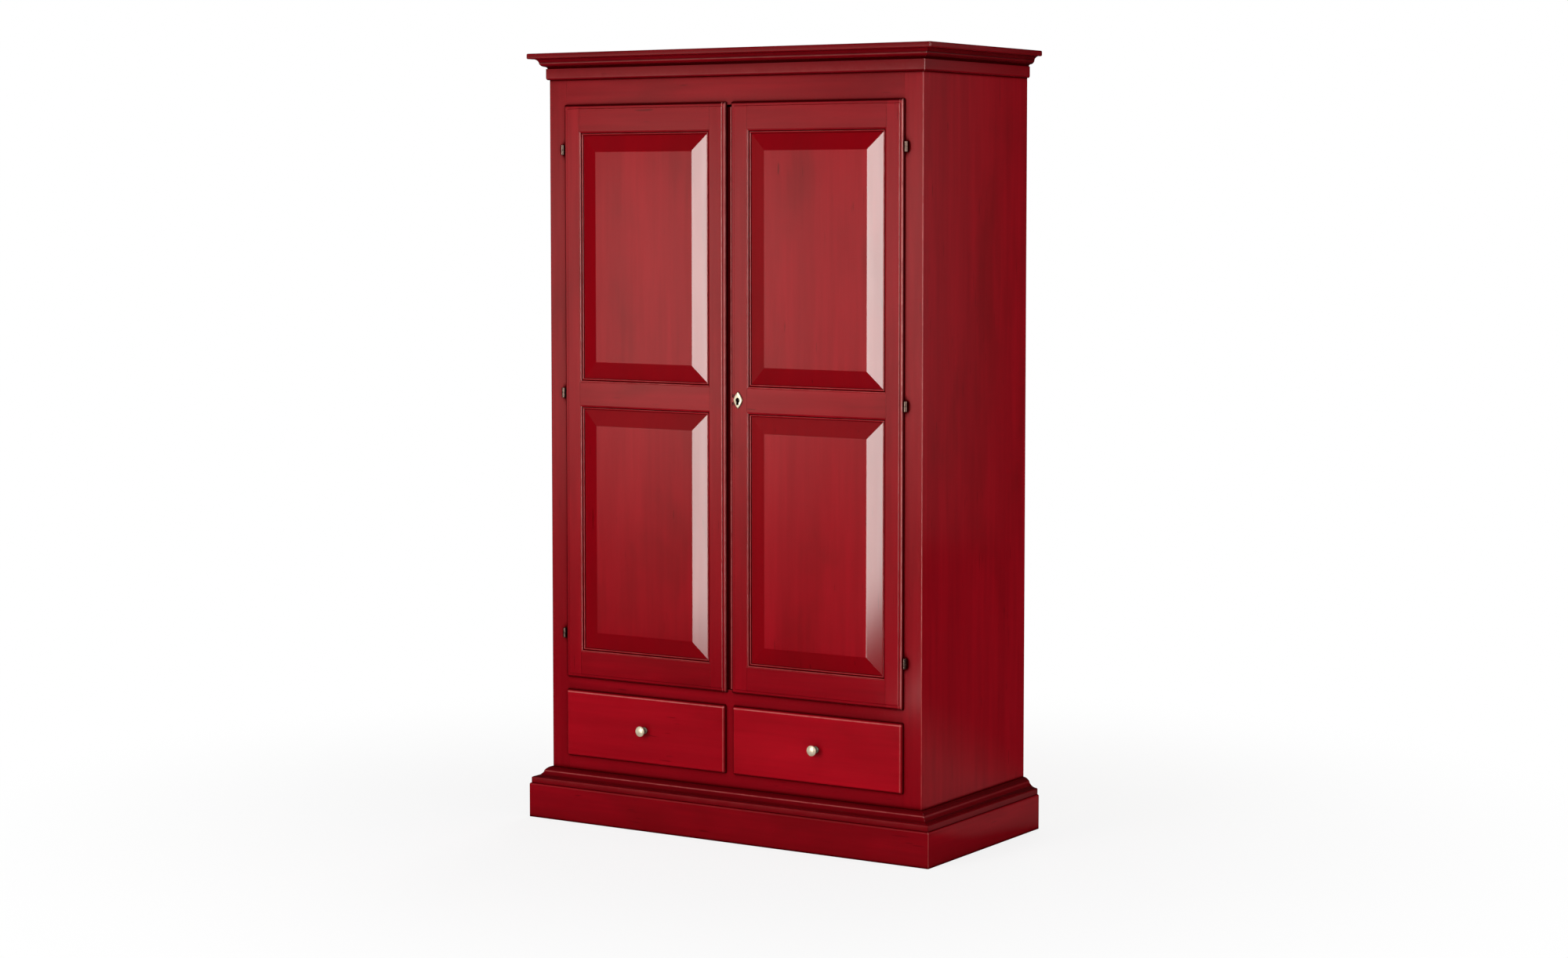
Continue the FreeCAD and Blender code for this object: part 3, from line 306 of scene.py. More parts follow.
metals = {
    "antiqueBrass": {"bright": (0.93, 0.82, 0.60, 1), "dull": (0.52, 0.41, 0.25, 1),
                     "roughness": 0.36, "stains": 0.5, "metallic": 0.45},
    "darkBronze": {"bright": (0.13, 0.085, 0.07, 1), "dull": (0.04, 0.016, 0.012, 1),
                   "roughness": 0.18, "stains": 0.7, "metallic": 1.0},
    "oiledIron": {"bright": (0.11, 0.105, 0.10, 1), "dull": (0.035, 0.032, 0.03, 1),
                  "roughness": 0.40, "stains": 0.7, "metallic": 0.8},
}
metalLooks = {
    # grime with painted shade in creases, and its share; noises of the tarnish and of the fine bumps; what tarnish
    # adds to the roughness
    "grime": (0.018, 0.010, 0.006, 1), "grimeShare": 0.96, "patchiness": 0.3, "tarnish": (120, 4, 0.6),
    "tarnishSpan": (0.42, 0.72), "tarnishRough": 0.22, "fine": (900, 3, 0.6), "bump": (0.08, 0.0002),
}


def agedMetal(name):
    v = SimpleNamespace(**metals[name], **metalLooks)
    material, tree = newMaterial(name)
    place = objectPlace(tree)
    wear = addNode("ShaderNodeGroup", {"Vector": place, "Patchiness": v.patchiness}, node_tree=arrisWear)
    tarnish = times(spread(noise(place, *v.tarnish), *v.tarnishSpan), v.stains)
    # bright metal where it is rubbed or where a highlight is painted on its arrises
    tarnish = calc("SUBTRACT", tarnish, wear["Mask"], clamp=True)
    # grime and painted shade in creases, as on a knob's neck under its head
    colour = blend(times(wear["Crease"], v.grimeShare), blend(tarnish, v.bright, v.dull), v.grime)
    surface(tree, "ShaderNodeBsdfPrincipled", {
        "Base Color": colour, "Roughness": timesPlus(tarnish, v.tarnishRough, v.roughness), "Metallic": v.metallic,
        "Normal": bump(noise(place, *v.fine), *v.bump)})
    return material


looks = {}
for kind, make in (("stained_", stainedWood), ("bare_", bareWood)):
    looks.update({kind + grain: make(kind + grain, grain) for grain in grainTurn})
looks.update({name: agedMetal(name) for name in metals})
print("finishes made:", len(looks))


# Meshes

def gridQuads(rows, columns, wrap=False):
    # corner numbers of a grid's cells; with wrap the last column joins the first
    index = np.arange(rows * columns).reshape(rows, columns)
    if wrap:
        index = np.concatenate([index, index[:, :1]], axis=1)
    return np.stack([index[:-1, :-1], index[:-1, 1:], index[1:, 1:], index[1:, :-1]], axis=-1).reshape(-1, 4)


def gridLines(*parts):
    # grid lines in order and without doubles
    return np.unique(np.concatenate(parts).round(7))


def crossed(x, z):
    return np.meshgrid(x, z, indexing="ij")


def inset(x, z, left, right, bottom, top):
    # how far a point lies inside a rectangle, less than nothing outside it
    return np.minimum(np.minimum(x - left, right - x), np.minimum(z - bottom, top - z))


def cellsOutside(x, z, holes):
    # which cells of a grid have their middle in no hole
    middles = crossed((x[1:] + x[:-1]) / 2, (z[1:] + z[:-1]) / 2)
    return np.all([inset(*middles, *hole) < 0 for hole in holes], axis=0)


def loft(rings):
    # closed rings of points, each joined to the next, with a flat cap on the first and on the last
    stations, count = rings.shape[:2]
    last = (stations - 1) * count
    caps = [list(range(count)), list(range(last, last + count))]
    return rings.reshape(-1, 3), gridQuads(stations, count, wrap=True).tolist() + caps


def sheetCells(depth, kept, start):
    # cells of a sheet; one that isn't flat is cut in two along its mitre, which joins its uneven corners
    quads = gridQuads(*depth.shape)[kept.reshape(-1)]
    level = depth.reshape(-1)[quads]
    bent = np.abs(level[:, 0] + level[:, 2] - level[:, 1] - level[:, 3]) > 1e-7
    cross = (np.abs(level[:, 0] - level[:, 2]) > np.abs(level[:, 1] - level[:, 3]))[bent, None]
    uneven = quads[bent]
    one = np.where(cross, uneven[:, [0, 1, 2]], uneven[:, [1, 2, 3]])
    two = np.where(cross, uneven[:, [0, 2, 3]], uneven[:, [1, 3, 0]])
    return [face for part in (quads[~bent], one, two) for face in (part + start).tolist()]


def sheetRim(kept):
    # grid edges that have a kept cell on one side only, each as its two corner numbers
    rows, columns = kept.shape
    index = np.arange((rows + 1) * (columns + 1)).reshape(rows + 1, columns + 1)
    padded = np.pad(kept, 1)
    alongZ = padded[:-1, 1:-1] != padded[1:, 1:-1]
    alongX = padded[1:-1, :-1] != padded[1:-1, 1:]
    upright = np.stack([index[:, :-1][alongZ], index[:, 1:][alongZ]], -1)
    level = np.stack([index[:-1][alongX], index[1:][alongX]], -1)
    return np.concatenate([upright, level])


def slab(x, z, front, back, kept=None):
    # two sheets over one grid of x and z, each at its own depth, joined round every rim
    if kept is None:
        kept = np.ones((len(x) - 1, len(z) - 1), bool)
    across, up = crossed(x, z)
    points = np.concatenate([np.stack([across, sheet, up], -1).reshape(-1, 3) for sheet in (front, back)])
    total = across.size
    one, two = sheetRim(kept).T
    walls = np.stack([one, two, two + total, one + total], -1).tolist()
    return points, sheetCells(front, kept, 0) + sheetCells(back, kept, total) + walls


def joined(*shells):
    # several shells as one set of points and faces
    points, faces, start = [], [], 0
    for shellPoints, shellFaces in shells:
        points.append(shellPoints)
        faces += [[corner + start for corner in face] for face in shellFaces]
        start += len(shellPoints)
    return np.concatenate(points), faces


def flipped(shell):
    # the same shell on the other side of the middle
    points, faces = shell
    return points * mirror, faces


def parabola(first, corner, last):
    # (1 - t) squared of the first point, 2t(1 - t) of the corner and t squared of the last
    t = np.linspace(0, 1, 4)[:, None]
    return (1 - t) ** 2 * first + 2 * t * (1 - t) * corner + t ** 2 * last


def roundedPolygon(corners, reach):
    # each corner becomes a short parabola that starts and ends at a distance from it
    first, last = [corners + way / np.linalg.norm(way, axis=1, keepdims=True) * reach
                   for way in (np.roll(corners, 1, axis=0) - corners, np.roll(corners, -1, axis=0) - corners)]
    return parabola(first[:, None], corners[:, None], last[:, None]).reshape(-1, 2)


def prism(section, axis, start, end, soft):
    # a closed section carried along an axis; at both ends it is drawn in by soft * (1 - sine) at a depth of
    # soft * (1 - cosine), a quarter round
    turn = np.linspace(0, np.pi / 2, 4)
    shrink, step = soft * (1 - np.sin(turn)), soft * (1 - np.cos(turn))
    along = np.concatenate([start + step, (end - step)[::-1]])
    shrink = np.concatenate([shrink, shrink[::-1]])[:, None, None]
    middle = (section.max(0) + section.min(0)) / 2
    half = (section.max(0) - section.min(0)) / 2
    rings = np.empty((len(along), len(section), 3))
    rings[:, :, [k for k in range(3) if k != axis]] = middle + (section - middle) * (1 - shrink / half)
    rings[:, :, axis] = along[:, None]
    return loft(rings)


def board(node, axis, soft):
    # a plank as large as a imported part, with rounded edges
    start, end = low(node), high(node)
    (a0, b0), (a1, b1) = (corner[[k for k in range(3) if k != axis]] for corner in (start, end))
    corners = np.array([(a0, b0), (a1, b0), (a1, b1), (a0, b1)])
    return prism(roundedPolygon(corners, soft), axis, start[axis], end[axis], soft)


def turned(profile, centre, axis, count):
    # a profile of radius and height spun round an axis: radius * cosine and radius * sine of even angles
    angle = np.linspace(0, 2 * np.pi, count, endpoint=False)
    rings = np.empty((len(profile), count, 3))
    one, two = [k for k in range(3) if k != axis]
    rings[:, :, one] = profile[:, :1] * np.cos(angle)
    rings[:, :, two] = profile[:, :1] * np.sin(angle)
    rings[:, :, axis] = profile[:, 1:]
    return loft(rings + np.asarray(centre))


def arc(start, end, radius, bulge, steps=9):
    # the short arc between two points, bulging to the left (1) or right (-1) of the way; its centre lies off the
    # chord's middle by the root of radius ** 2 - (length / 2) ** 2
    chord = end - start
    length = np.hypot(*chord)
    side = np.array([-chord[1], chord[0]]) / length * bulge
    centre = (start + end) / 2 - side * math.sqrt(radius ** 2 - length ** 2 / 4)
    first = math.atan2(*(start - centre)[::-1])
    angle = first + np.linspace(0, 2 * math.asin(length / 2 / radius) * -bulge, steps)
    return centre + radius * np.stack([np.cos(angle), np.sin(angle)], -1)


def outline(points, arcs, soft):
    # a closed outline in millimetres, some of whose stretches are arcs; its other corners are softened
    points = np.array(points, float)
    parts = []
    for index, here in enumerate(points):
        before, after = points[index - 1], points[(index + 1) % len(points)]
        if index in arcs:
            parts.append(arc(here, after, *arcs[index]))
        elif (index - 1) % len(points) not in arcs:
            first, last = [here + (q - here) / np.hypot(*(q - here)) * min(soft, np.hypot(*(q - here)) / 3)
                           for q in (before, after)]
            parts.append(parabola(first, here, last))
    return np.concatenate(parts) * mm


def quarter(reach, depth, size, steps=7):
    # a quarter round from (reach, depth): size * (1 - cosine) inwards and size * sine forwards
    turn = np.linspace(0, np.pi / 2, steps)
    return np.stack([reach + size * (1 - np.cos(turn)), depth - size * np.sin(turn)], -1)


def readItems(items, label, width=1, kind=np.float32):
    # one property of every item, in a row each
    values = np.empty(len(items) * width, kind)
    items.foreach_get(label, values)
    return values.reshape(-1, width) if width > 1 else values


def setShares(mesh, label, domain, values):
    count = len(mesh.vertices if domain == "POINT" else mesh.polygons)
    shares = mesh.attributes.new(label, "FLOAT", domain)
    shares.data.foreach_set("value", np.broadcast_to(values, count).astype(np.float32))


def markMitres(mesh):
    # an edge that runs at 45 degrees over the front is a mitre, and stays sharp
    ends = readItems(mesh.vertices, "co", 3)[readItems(mesh.edges, "vertices", 2, np.int32)]
    way = np.abs(np.diff(ends, axis=1)[:, 0])
    mitre = (np.abs(way[:, 0] - way[:, 2]) < 1e-6) & (way[:, 0] > 1e-5)
    sharp = mesh.attributes.get("sharp_edge") or mesh.attributes.new("sharp_edge", "BOOLEAN", "EDGE")
    sharp.data.foreach_set("value", readItems(sharp.data, "value", 1, bool) | mitre)


wearAndHighlightValues = {
    # bends in radians; the widest face and the longest flat edge beside a corner that counts as an arris;
    # the painted highlight a corner gets by the way it looks, and what it gets low down
    "bendFrom": 0.25, "bendOver": 0.25, "flatBend": 0.05, "widest": 3.5 * mm, "ahead": 0.12, "gain": 2.6, "up": 0.7,
    "round": 0.25, "sideEnd": 0.97, "sideOver": 0.35, "heights": [0.15, 1.2], "share": [0.7, 1],
}


def rubAndHighlightShares(mesh, forward):
    # an arris wears, and gets a painted highlight, where the faces round a corner bend outwards within a few
    # millimetres: share = (sum of the outward bends at the corner - bendFrom) / bendOver, more where it looks to
    # the right or up, towards the light, and only as far round as it still looks forward
    v = SimpleNamespace(**wearAndHighlightValues)
    normals, centres = readItems(mesh.polygons, "normal", 3), readItems(mesh.polygons, "center", 3)
    loopEdge, loopCorner = (readItems(mesh.loops, label, 1, np.int32) for label in ("edge_index", "vertex_index"))
    loopFace = np.repeat(np.arange(len(mesh.polygons)), readItems(mesh.polygons, "loop_total", 1, np.int32))
    ends, points = readItems(mesh.edges, "vertices", 2, np.int32), readItems(mesh.vertices, "co", 3)
    one, two = loopFace[np.argsort(loopEdge, kind="stable")].reshape(-1, 2).T
    bend = np.arccos(np.clip((normals[one] * normals[two]).sum(1), -1, 1))
    bend *= ((centres[two] - centres[one]) * normals[one]).sum(1) < -1e-9
    total, longest, broadest, plain = (np.zeros(len(items)) for items in (points, mesh.polygons, points, points))
    np.add.at(total, ends.T, bend)
    length = np.linalg.norm(points[ends[:, 0]] - points[ends[:, 1]], axis=1)
    np.maximum.at(longest, loopFace, length[loopEdge])
    np.maximum.at(broadest, loopCorner, (readItems(mesh.polygons, "area") / longest)[loopFace])
    np.maximum.at(plain, ends.T, length * (bend < v.flatBend))
    across, front, up = readItems(mesh.vertices, "normal", 3).T
    # the painted highlight: most on arrises that look right or up, towards the light
    facing = np.clip(v.ahead + v.gain * np.maximum(across, v.up * up), 0, 1)
    facing *= np.clip((-front - forward) / v.round, 0, 1)
    facing *= np.clip((v.sideEnd - across) / v.sideOver, 0, 1) * np.interp(points[:, 2], v.heights, v.share)
    narrow = (broadest < v.widest) * (plain < v.widest)
    return np.clip((total - v.bendFrom) / v.bendOver, 0, 1) * narrow * facing


def shellMesh(name, shell, sharp):
    # doubles merged, normals outwards, smooth but for the edges sharper than an angle
    mesh = bpy.data.meshes.new(name)
    mesh.from_pydata(shell[0], [], shell[1])
    work = bmesh.new()
    work.from_mesh(mesh)
    bmesh.ops.remove_doubles(work, verts=work.verts, dist=2e-6)
    bmesh.ops.delete(work, geom=[vertex for vertex in work.verts if not vertex.link_faces], context="VERTS")
    bmesh.ops.recalc_face_normals(work, faces=work.faces)
    work.to_mesh(mesh)
    work.free()
    mesh.shade_smooth()
    mesh.set_sharp_from_angle(angle=math.radians(sharp))
    return mesh


def asked(value, *given):
    # a value as it is, or what a function says of the given places
    return value(*given) if callable(value) else value


backThin = 0.75                              # how much of the varnish is missing on faces that look backwards


def makePiece(name, shell, look, body, nodes, number=0.0, tone=1.0, rub=1.0, forward=-2.0, sharp=34,
              mitred=False, sort=None, varnish=1.0, creaseReach=9 * mm):
    # puts a shell in the scene; sort turns the middles of the faces into their finish, board number and tone,
    # which may hold painted light and shade; tone, creaseReach, varnish and the rub with its painted highlight may
    # be functions: of the middles, of the middles and normals, and of the points and their wear
    mesh = shellMesh(name, shell, sharp)
    if mitred:
        markMitres(mesh)
    finishes = [look] if isinstance(look, str) else look
    for finish in finishes:
        mesh.materials.append(looks[finish])
    centres, normals = readItems(mesh.polygons, "center", 3), readItems(mesh.polygons, "normal", 3)
    slots, numbers, tones = sort(centres) if sort else (0, number, asked(tone, centres))
    coats = asked(varnish, centres, normals) * (1 - backThin * (normals[:, 1] > 0.5))
    wear = rubAndHighlightShares(mesh, forward)
    mesh.polygons.foreach_set("material_index", np.broadcast_to(slots, len(centres)).astype(np.int32))
    for label, values in (("boardNumber", numbers), ("tone", tones), ("varnish", coats),
                          ("creaseReach", asked(creaseReach, centres))):
        setShares(mesh, label, "FACE", values)
    # the share of wear with a painted highlight, at each point
    setShares(mesh, "rub", "POINT", rub(readItems(mesh.vertices, "co", 3), wear) if callable(rub) else wear * rub)
    piece = bpy.data.objects.new(name, mesh)
    bpy.context.scene.collection.objects.link(piece)
    piece.modifiers.new("weightedNormals", "WEIGHTED_NORMAL").keep_sharp = True
    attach(piece, body)
    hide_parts(*nodes)
    return piece


# Mouldings that run round the front and both sides; a section is drawn as reach and height

mitreEase = 0.7 * mm


def mitredRing(section):
    # x = half the body + reach and y = face - reach, where the mitre's own ring is drawn back along the diagonal
    # by an ease; the full section is met three eases away
    reach, height = section.T
    ease = mitreEase * np.clip(reach / (2 * mm), 0, 1)
    return np.stack([halfBody + reach - ease, faceY - reach + ease, height], -1), reach, height, 3 * ease


def frontLength(section):
    # x = half the body plus the reach at each end, so both ends are mitred
    mitre, reach, height, clear = mitredRing(section)
    full = np.stack([halfBody + reach - clear, faceY - reach, height], -1)
    return loft(np.stack([mitre * mirror, full * mirror, full, mitre]))


def sideLength(section):
    # mitred at the front and square at the wall
    mitre, reach, height, clear = mitredRing(section)
    full = [np.stack([halfBody + reach, y, height], -1) for y in (faceY - reach + clear, np.full_like(reach, backY))]
    return loft(np.stack([mitre] + full))


# points of the section, arcs by their first point as radius and bulge, and softening of its corners; tones by
# height, which paint the section's light and shade; worn arrises, with a painted highlight, as reach, height
# and share; wear and painted highlight of the mitre; painted shade of the side lengths
mouldings = {
    "plinthBoard": {
        "points": [(25, 0), (45, 0), (45, 86), (41, 90), (25, 90)], "arcs": {2: (4, -1)}, "soft": 1.0,
        "nodes": ("plinth_front", "plinth_sides"), "number": 3.1, "tones": [(0, 0.88), (90, 0.88)],
        "worn": [(45 - 4 / 3, 90 - 4 / 3, 0.12)], "mitre": 0.75, "side": 1.0},
    "plinthCap": {
        "points": [(0, 90), (41, 90), (41, 104), (39, 106), (17.5, 119), (17.5, 121), (0, 132)],
        "arcs": {3: (24.3, 1), 5: (22, -1)}, "soft": 0.8, "nodes": ("plinth_cap", "plinth_cap"), "number": 7.7,
        "tones": [(90, 0.66), (105, 0.66), (105.8, 0.5), (106.3, 0.34), (110.5, 0.34), (113, 0.55), (118, 0.6),
                  (119, 0.8), (121.5, 0.85), (122.5, 0.5), (126, 0.42), (132, 0.36)],
        "worn": [(41, 104, 0.2), (17.5, 120.5, 0.7)], "mitre": 0.0, "side": 0.85},
    "crown": {
        "points": [(0, 1961), (4.3, 1961), (8, 1966), (20, 1974), (20, 1975), (30, 1986), (0, 1986)],
        "arcs": {1: (6, 1), 2: (13, -1), 4: (13, 1)}, "soft": 0.4, "nodes": ("crown_moulding", "crown_moulding"),
        "number": 11.9, "tones": [(1961, 0.25), (1966, 0.25), (1970, 0.55), (1974, 0.72), (1976, 0.35),
                                  (1979, 0.55), (1983, 0.66), (1986, 0.4)],
        "worn": [(20, 1974, 0.4)], "mitre": 0.0, "side": 0.65},
    "frieze": {
        "points": [(0, 1932), (7.2 - 3, 1932), (7.2, 1938), (7.2, 1961), (0, 1961)], "arcs": {1: (7, -1)},
        "soft": 0.6, "nodes": ("frieze_band", "frieze_band"), "number": 15.3,
        "tones": [(1932, 0.4), (1936, 0.68), (1961, 0.68)], "worn": [(7.2, 1938, 0.2)], "mitre": 0.7, "side": 1.0},
}
# how near a worn arris its wear and painted highlight reach, and how much of them the sides get
wornAndLitNear, sideWearAndHighlight = 1.3 * mm, 0.3
# the cornice board: its round, number, tone, and wear with a painted highlight
corniceValues = {"round": 3.0 * mm, "number": 19.1, "tone": 0.62, "rub": 0.12}


def makeMoulding(name, values):
    # a front length and two side lengths; their tones, painted light and shade, go by height and are darker on the
    # sides, their wear and painted highlight by the worn arrises
    v = SimpleNamespace(**values)
    section = outline(v.points, v.arcs, v.soft)
    front, right = frontLength(section), sideLength(section)
    heights, shades = zip(*v.tones)

    def tone(shade):
        return lambda centres: np.interp(centres[:, 2], np.array(heights) * mm, shades) * shade

    def rub(points, _):
        # the mitre's outer edge, where x - half the body = face - y, and the worn arrises, whose painted highlight is
        # less on the sides
        past, deep = np.abs(points[:, 0]) - halfBody, faceY - points[:, 1]
        worn = v.mitre * (np.abs(past - deep) < 1e-5)
        ahead = np.where(deep > past + 1e-5, 1, sideWearAndHighlight)
        for reach, height, share in v.worn:
            near = np.hypot(np.maximum(past, deep) - reach * mm, points[:, 2] - height * mm) < wornAndLitNear
            worn = np.maximum(worn, share * ahead * near)
        return worn

    for part, shell, look, node, number, shade in (
            ("Front", front, "stained_across", v.nodes[0], v.number, 1.0),
            ("Right", right, "stained_deep", v.nodes[1], v.number + 1.3, v.side),
            ("Left", flipped(right), "stained_deep", v.nodes[1], v.number + 2.6, v.side)):
        makePiece(name + part, shell, look, "cabinet", [node], number, tone(shade), rub)


for name, values in mouldings.items():
    makeMoulding(name, values)
makePiece("corniceBoard", board("cornice_board", 0, corniceValues["round"]), "stained_across", "cabinet",
          ["cornice_board"], *(corniceValues[key] for key in ("number", "tone", "rub")))
print("plinth and cornice made")


# Carcass

faceFrameValues = {
    # edges and joints in millimetres; board numbers and tones by member, those of the stiles as right and left
    "soft": 0.5, "arris": 2.6, "joint": 0.25, "jointDeep": 0.35, "jointIn": 3, "jointEnd": 2,
    "numbers": {"stiles": (29.3, 23.7), "top": 49.3, "bottom": 41.3, "muntin": 55.7, "middle": 45.3},
    "tones": {"stiles": (0.97, 0.86), "top": 0.84, "bottom": 0.96, "muntin": 0.9, "middle": 0.9},
    # a far search for hollows, so that painted shade falls on the frame beside the lips of the doors and drawers
    "creaseReach": 16 * mm, "arrisCoat": 0.25, "arrisTurn": 0.2,
}


def jointGroove(x, z, front, place, limits):
    # a fine vee where a rail ends against a stile: jointDeep * (1 - distance from the joint / its half width)
    v = SimpleNamespace(**faceFrameValues)
    near = np.clip(1 - np.abs(x - place) / (v.joint * mm), 0, 1)[:, None]
    within = (z > limits[0] - 1e-6) & (z < limits[1] + 1e-6)
    return front + near * within[None] * v.jointDeep * mm


def makeFaceFrame():
    # stiles, rails and muntin as one slab with a door opening and two drawer openings; the depth in front is the
    # greatest that the rounds of the outer arrises and of the openings give at their distances
    v = SimpleNamespace(**faceFrameValues)
    muntinX, openX = high("drawer_muntin")[0], low("right_front_stile")[0]
    floor, ceiling = high("bottom_rail")[2], low("middle_rail")[2]
    doorFloor, doorCeiling = high("middle_rail")[2], low("top_rail")[2]
    holes = [(-openX, -muntinX, floor, ceiling), (muntinX, openX, floor, ceiling),
             (-openX, openX, doorFloor, doorCeiling)]
    soft = quarter(0, v.soft, v.soft, 5) * mm
    arris = quarter(0, v.arris, v.arris, 8) * mm
    joint, end = openX + v.jointIn * mm, v.jointEnd * mm
    fine = np.array([-v.joint, 0, v.joint]) * mm
    x = gridLines(halfBody - arris[:, 0], arris[:, 0] - halfBody, joint + fine, -joint + fine,
                  *(line for hole in holes for line in (hole[0] - soft[:, 0], hole[1] + soft[:, 0])))
    z = gridLines([bodyLow, bodyHigh],
                  *(line for hole in holes for line in (hole[2] - soft[:, 0], hole[3] + soft[:, 0])))
    gridX, gridZ = crossed(x, z)
    front = np.interp(halfBody - np.abs(gridX), arris[:, 0], arris[:, 1])
    for hole in holes:
        front = np.maximum(front, np.interp(-inset(gridX, gridZ, *hole), soft[:, 0], soft[:, 1]))
    for place in (-joint, joint):
        for limits in ((bodyLow, floor - end), (ceiling + end, doorFloor - end), (doorCeiling + end, bodyHigh)):
            front = jointGroove(x, z, front, place, limits)

    def sort(centres):
        # stiles first, then rails by height, then the muntin
        across, _, up = np.abs(centres).T
        parts = [across > joint, up > doorCeiling - 1e-6, up < floor + 1e-6,
                 (across < muntinX + 1e-6) & (up < ceiling)]

        def chosen(values):
            stiles = np.where(centres[:, 0] > 0, *values["stiles"])
            return np.select(parts, [stiles, values["top"], values["bottom"], values["muntin"]], values["middle"])
        return np.where(parts[0] | parts[3] & ~parts[2], 0, 1), chosen(v.numbers), chosen(v.tones)

    def varnish(_, normals):
        return np.where((np.abs(normals[:, 0]) > v.arrisTurn) & (normals[:, 1] < -v.arrisTurn), v.arrisCoat, 1.0)

    back = np.full_like(front, high("right_front_stile")[1])
    makePiece("faceFrame", slab(x, z, faceY + front, back, cellsOutside(x, z, holes)),
              ["stained_upright", "stained_across"], "cabinet",
              ["right_front_stile", "left_front_stile", "bottom_rail", "middle_rail", "top_rail", "drawer_muntin"],
              mitred=True, sort=sort, varnish=varnish, creaseReach=v.creaseReach)


backValues = {"boards": 8, "groove": 2.2 * mm, "depth": 1.8 * mm, "soft": 0.3 * mm, "number": 61.3}
sideValues = {"soft": 0.3 * mm, "numbers": {"right": 31.9, "left": 37.1}}


def makeBack():
    # upright boards with a vee at each joint: the depth over x is carried up the height
    v = SimpleNamespace(**backValues)
    start, end = low("back_panel"), high("back_panel")
    joints = np.linspace(start[0], end[0], v.boards + 1)[1:-1]
    vees = (joints[:, None] + np.array([-v.groove, 0, v.groove])).reshape(-1)
    x = np.concatenate([[start[0]], vees, [end[0]]])
    dip = np.concatenate([[0], np.tile([0, v.depth, 0], len(joints)), [0]])
    ring = np.concatenate([np.stack([x, start[1] + dip], -1), np.stack([x, end[1] - dip], -1)[::-1]])
    shell = prism(ring, 2, start[2], end[2], v.soft)
    makePiece("backBoards", shell, "bare_upright", "cabinet", ["back_panel"], v.number)


makeFaceFrame()
sidePanel = board("right_side_panel", 2, sideValues["soft"])
for name, shell in (("right", sidePanel), ("left", flipped(sidePanel))):
    makePiece(name + "SidePanel", shell, "stained_upright", "cabinet", [name + "_side_panel"],
              sideValues["numbers"][name], rub=0.0)
makeBack()
print("carcass made")


# Doors

doorValues = {
    # millimetres; depths count from the face frame's front, and less than nothing lies before it
    "face": -8.0, "lipBack": -0.5, "back": 14.0, "lipWidth": 8.0,
    "edgeRound": 4.0, "edgeFoot": -2.5, "edgeShelf": (9.8, -6.5), "shoulder": 1.5,
    "bead": 2.45, "beadWidth": 4.8, "quirk": -3.2, "quirkEnd": 5.6, "ovolo": 3.4, "ovoloFoot": -3.8,
    "stickFlat": 0.6, "stickShoulder": 0.8, "wearEnd": 13.2, "jointEnd": 5,
    "bevelFoot": -2.0, "bevelWidth": 43.0, "bevelDrop": 8.0, "fieldRound": 1.3, "tongue": 7.0, "panelBack": 4.5,
}
door = SimpleNamespace(**doorValues)
doorHoles = [(*openingX, *limits) for limits in openings.values()]


def doorEdge():
    # round, level shelf and shoulder, as distance from the door's outer edge and depth
    return np.concatenate([quarter(0, door.edgeFoot, door.edgeRound), quarter(*door.edgeShelf, door.shoulder)]) * mm


def doorSticking():
    # bead, quirk, ovolo and shoulder, as distance from the opening's edge and depth; the bead is the part of a
    # circle that is beadWidth wide, and the others are quarter rounds
    half = door.beadWidth / 2
    sink = math.sqrt(door.bead ** 2 - half ** 2)
    tilt = math.asin(sink / door.bead)
    turn = np.linspace(tilt, math.pi - tilt, 9)
    bead = np.stack([half - door.bead * np.cos(turn), door.quirk + sink - door.bead * np.sin(turn)], -1)
    ovolo = quarter(door.quirkEnd, door.ovoloFoot, door.ovolo)
    shoulder = quarter(ovolo[-1, 0] + door.stickFlat, ovolo[-1, 1], door.stickShoulder, 5)
    return np.concatenate([bead, [(door.quirkEnd - 0.01, door.quirk)], ovolo, shoulder]) * mm


edgeProfile, stickProfile = doorEdge(), doorSticking()
stickReach = stickProfile[-1, 0]


def doorLines(ends, gaps, *extra):
    # grid lines on one axis: the door's edges, the lip's foot, and both sides of each opening
    fromEdge = np.concatenate([edgeProfile[:, 0], door.lipWidth * mm + hair, [door.wearEnd * mm]])
    sides = [line for first, last in gaps for line in (first - stickProfile[:, 0], last + stickProfile[:, 0])]
    return gridLines(ends[0] + fromEdge, ends[1] - fromEdge, *sides, *extra)


def doorDepths(x, z):
    # the depth at a point follows its distance from the door's edge and from the nearer opening
    x, z = crossed(x, z)
    fromEdge = inset(x, z, *doorX, *doorZ)
    front = np.interp(fromEdge, edgeProfile[:, 0], edgeProfile[:, 1])
    for hole in doorHoles:
        past = -inset(x, z, *hole)
        front = np.where(past <= stickReach, np.interp(past, stickProfile[:, 0], stickProfile[:, 1]), front)
    return front, np.where(fromEdge < door.lipWidth * mm, door.lipBack * mm, door.back * mm)


lockValues = {"scoopRadius": 22 * mm, "scoopOut": 9.5 * mm, "scoopFront": 13, "scoopLines": (9, 13),
              "scoopSpan": (16, 33), "pocketWide": 6.4 * mm, "pocketUp": 6.4 * mm, "pocketDown": 12.6 * mm,
              "pocketDepth": 13.2 * mm}
lock = SimpleNamespace(**lockValues)


def lockLines(x, z):
    # finer lines round the finger hollow, and the rims of the keyhole's pocket
    width, count = lock.scoopLines
    span, levels = lock.scoopSpan
    return (gridLines(x, doorX[0] + np.linspace(0, width, count) * mm, lockX - lock.pocketWide + hair,
                      lockX + lock.pocketWide + hair),
            gridLines(z, lockZ + np.linspace(-span, span, levels) * mm, lockZ + lock.pocketUp + hair,
                      lockZ - lock.pocketDown + hair))


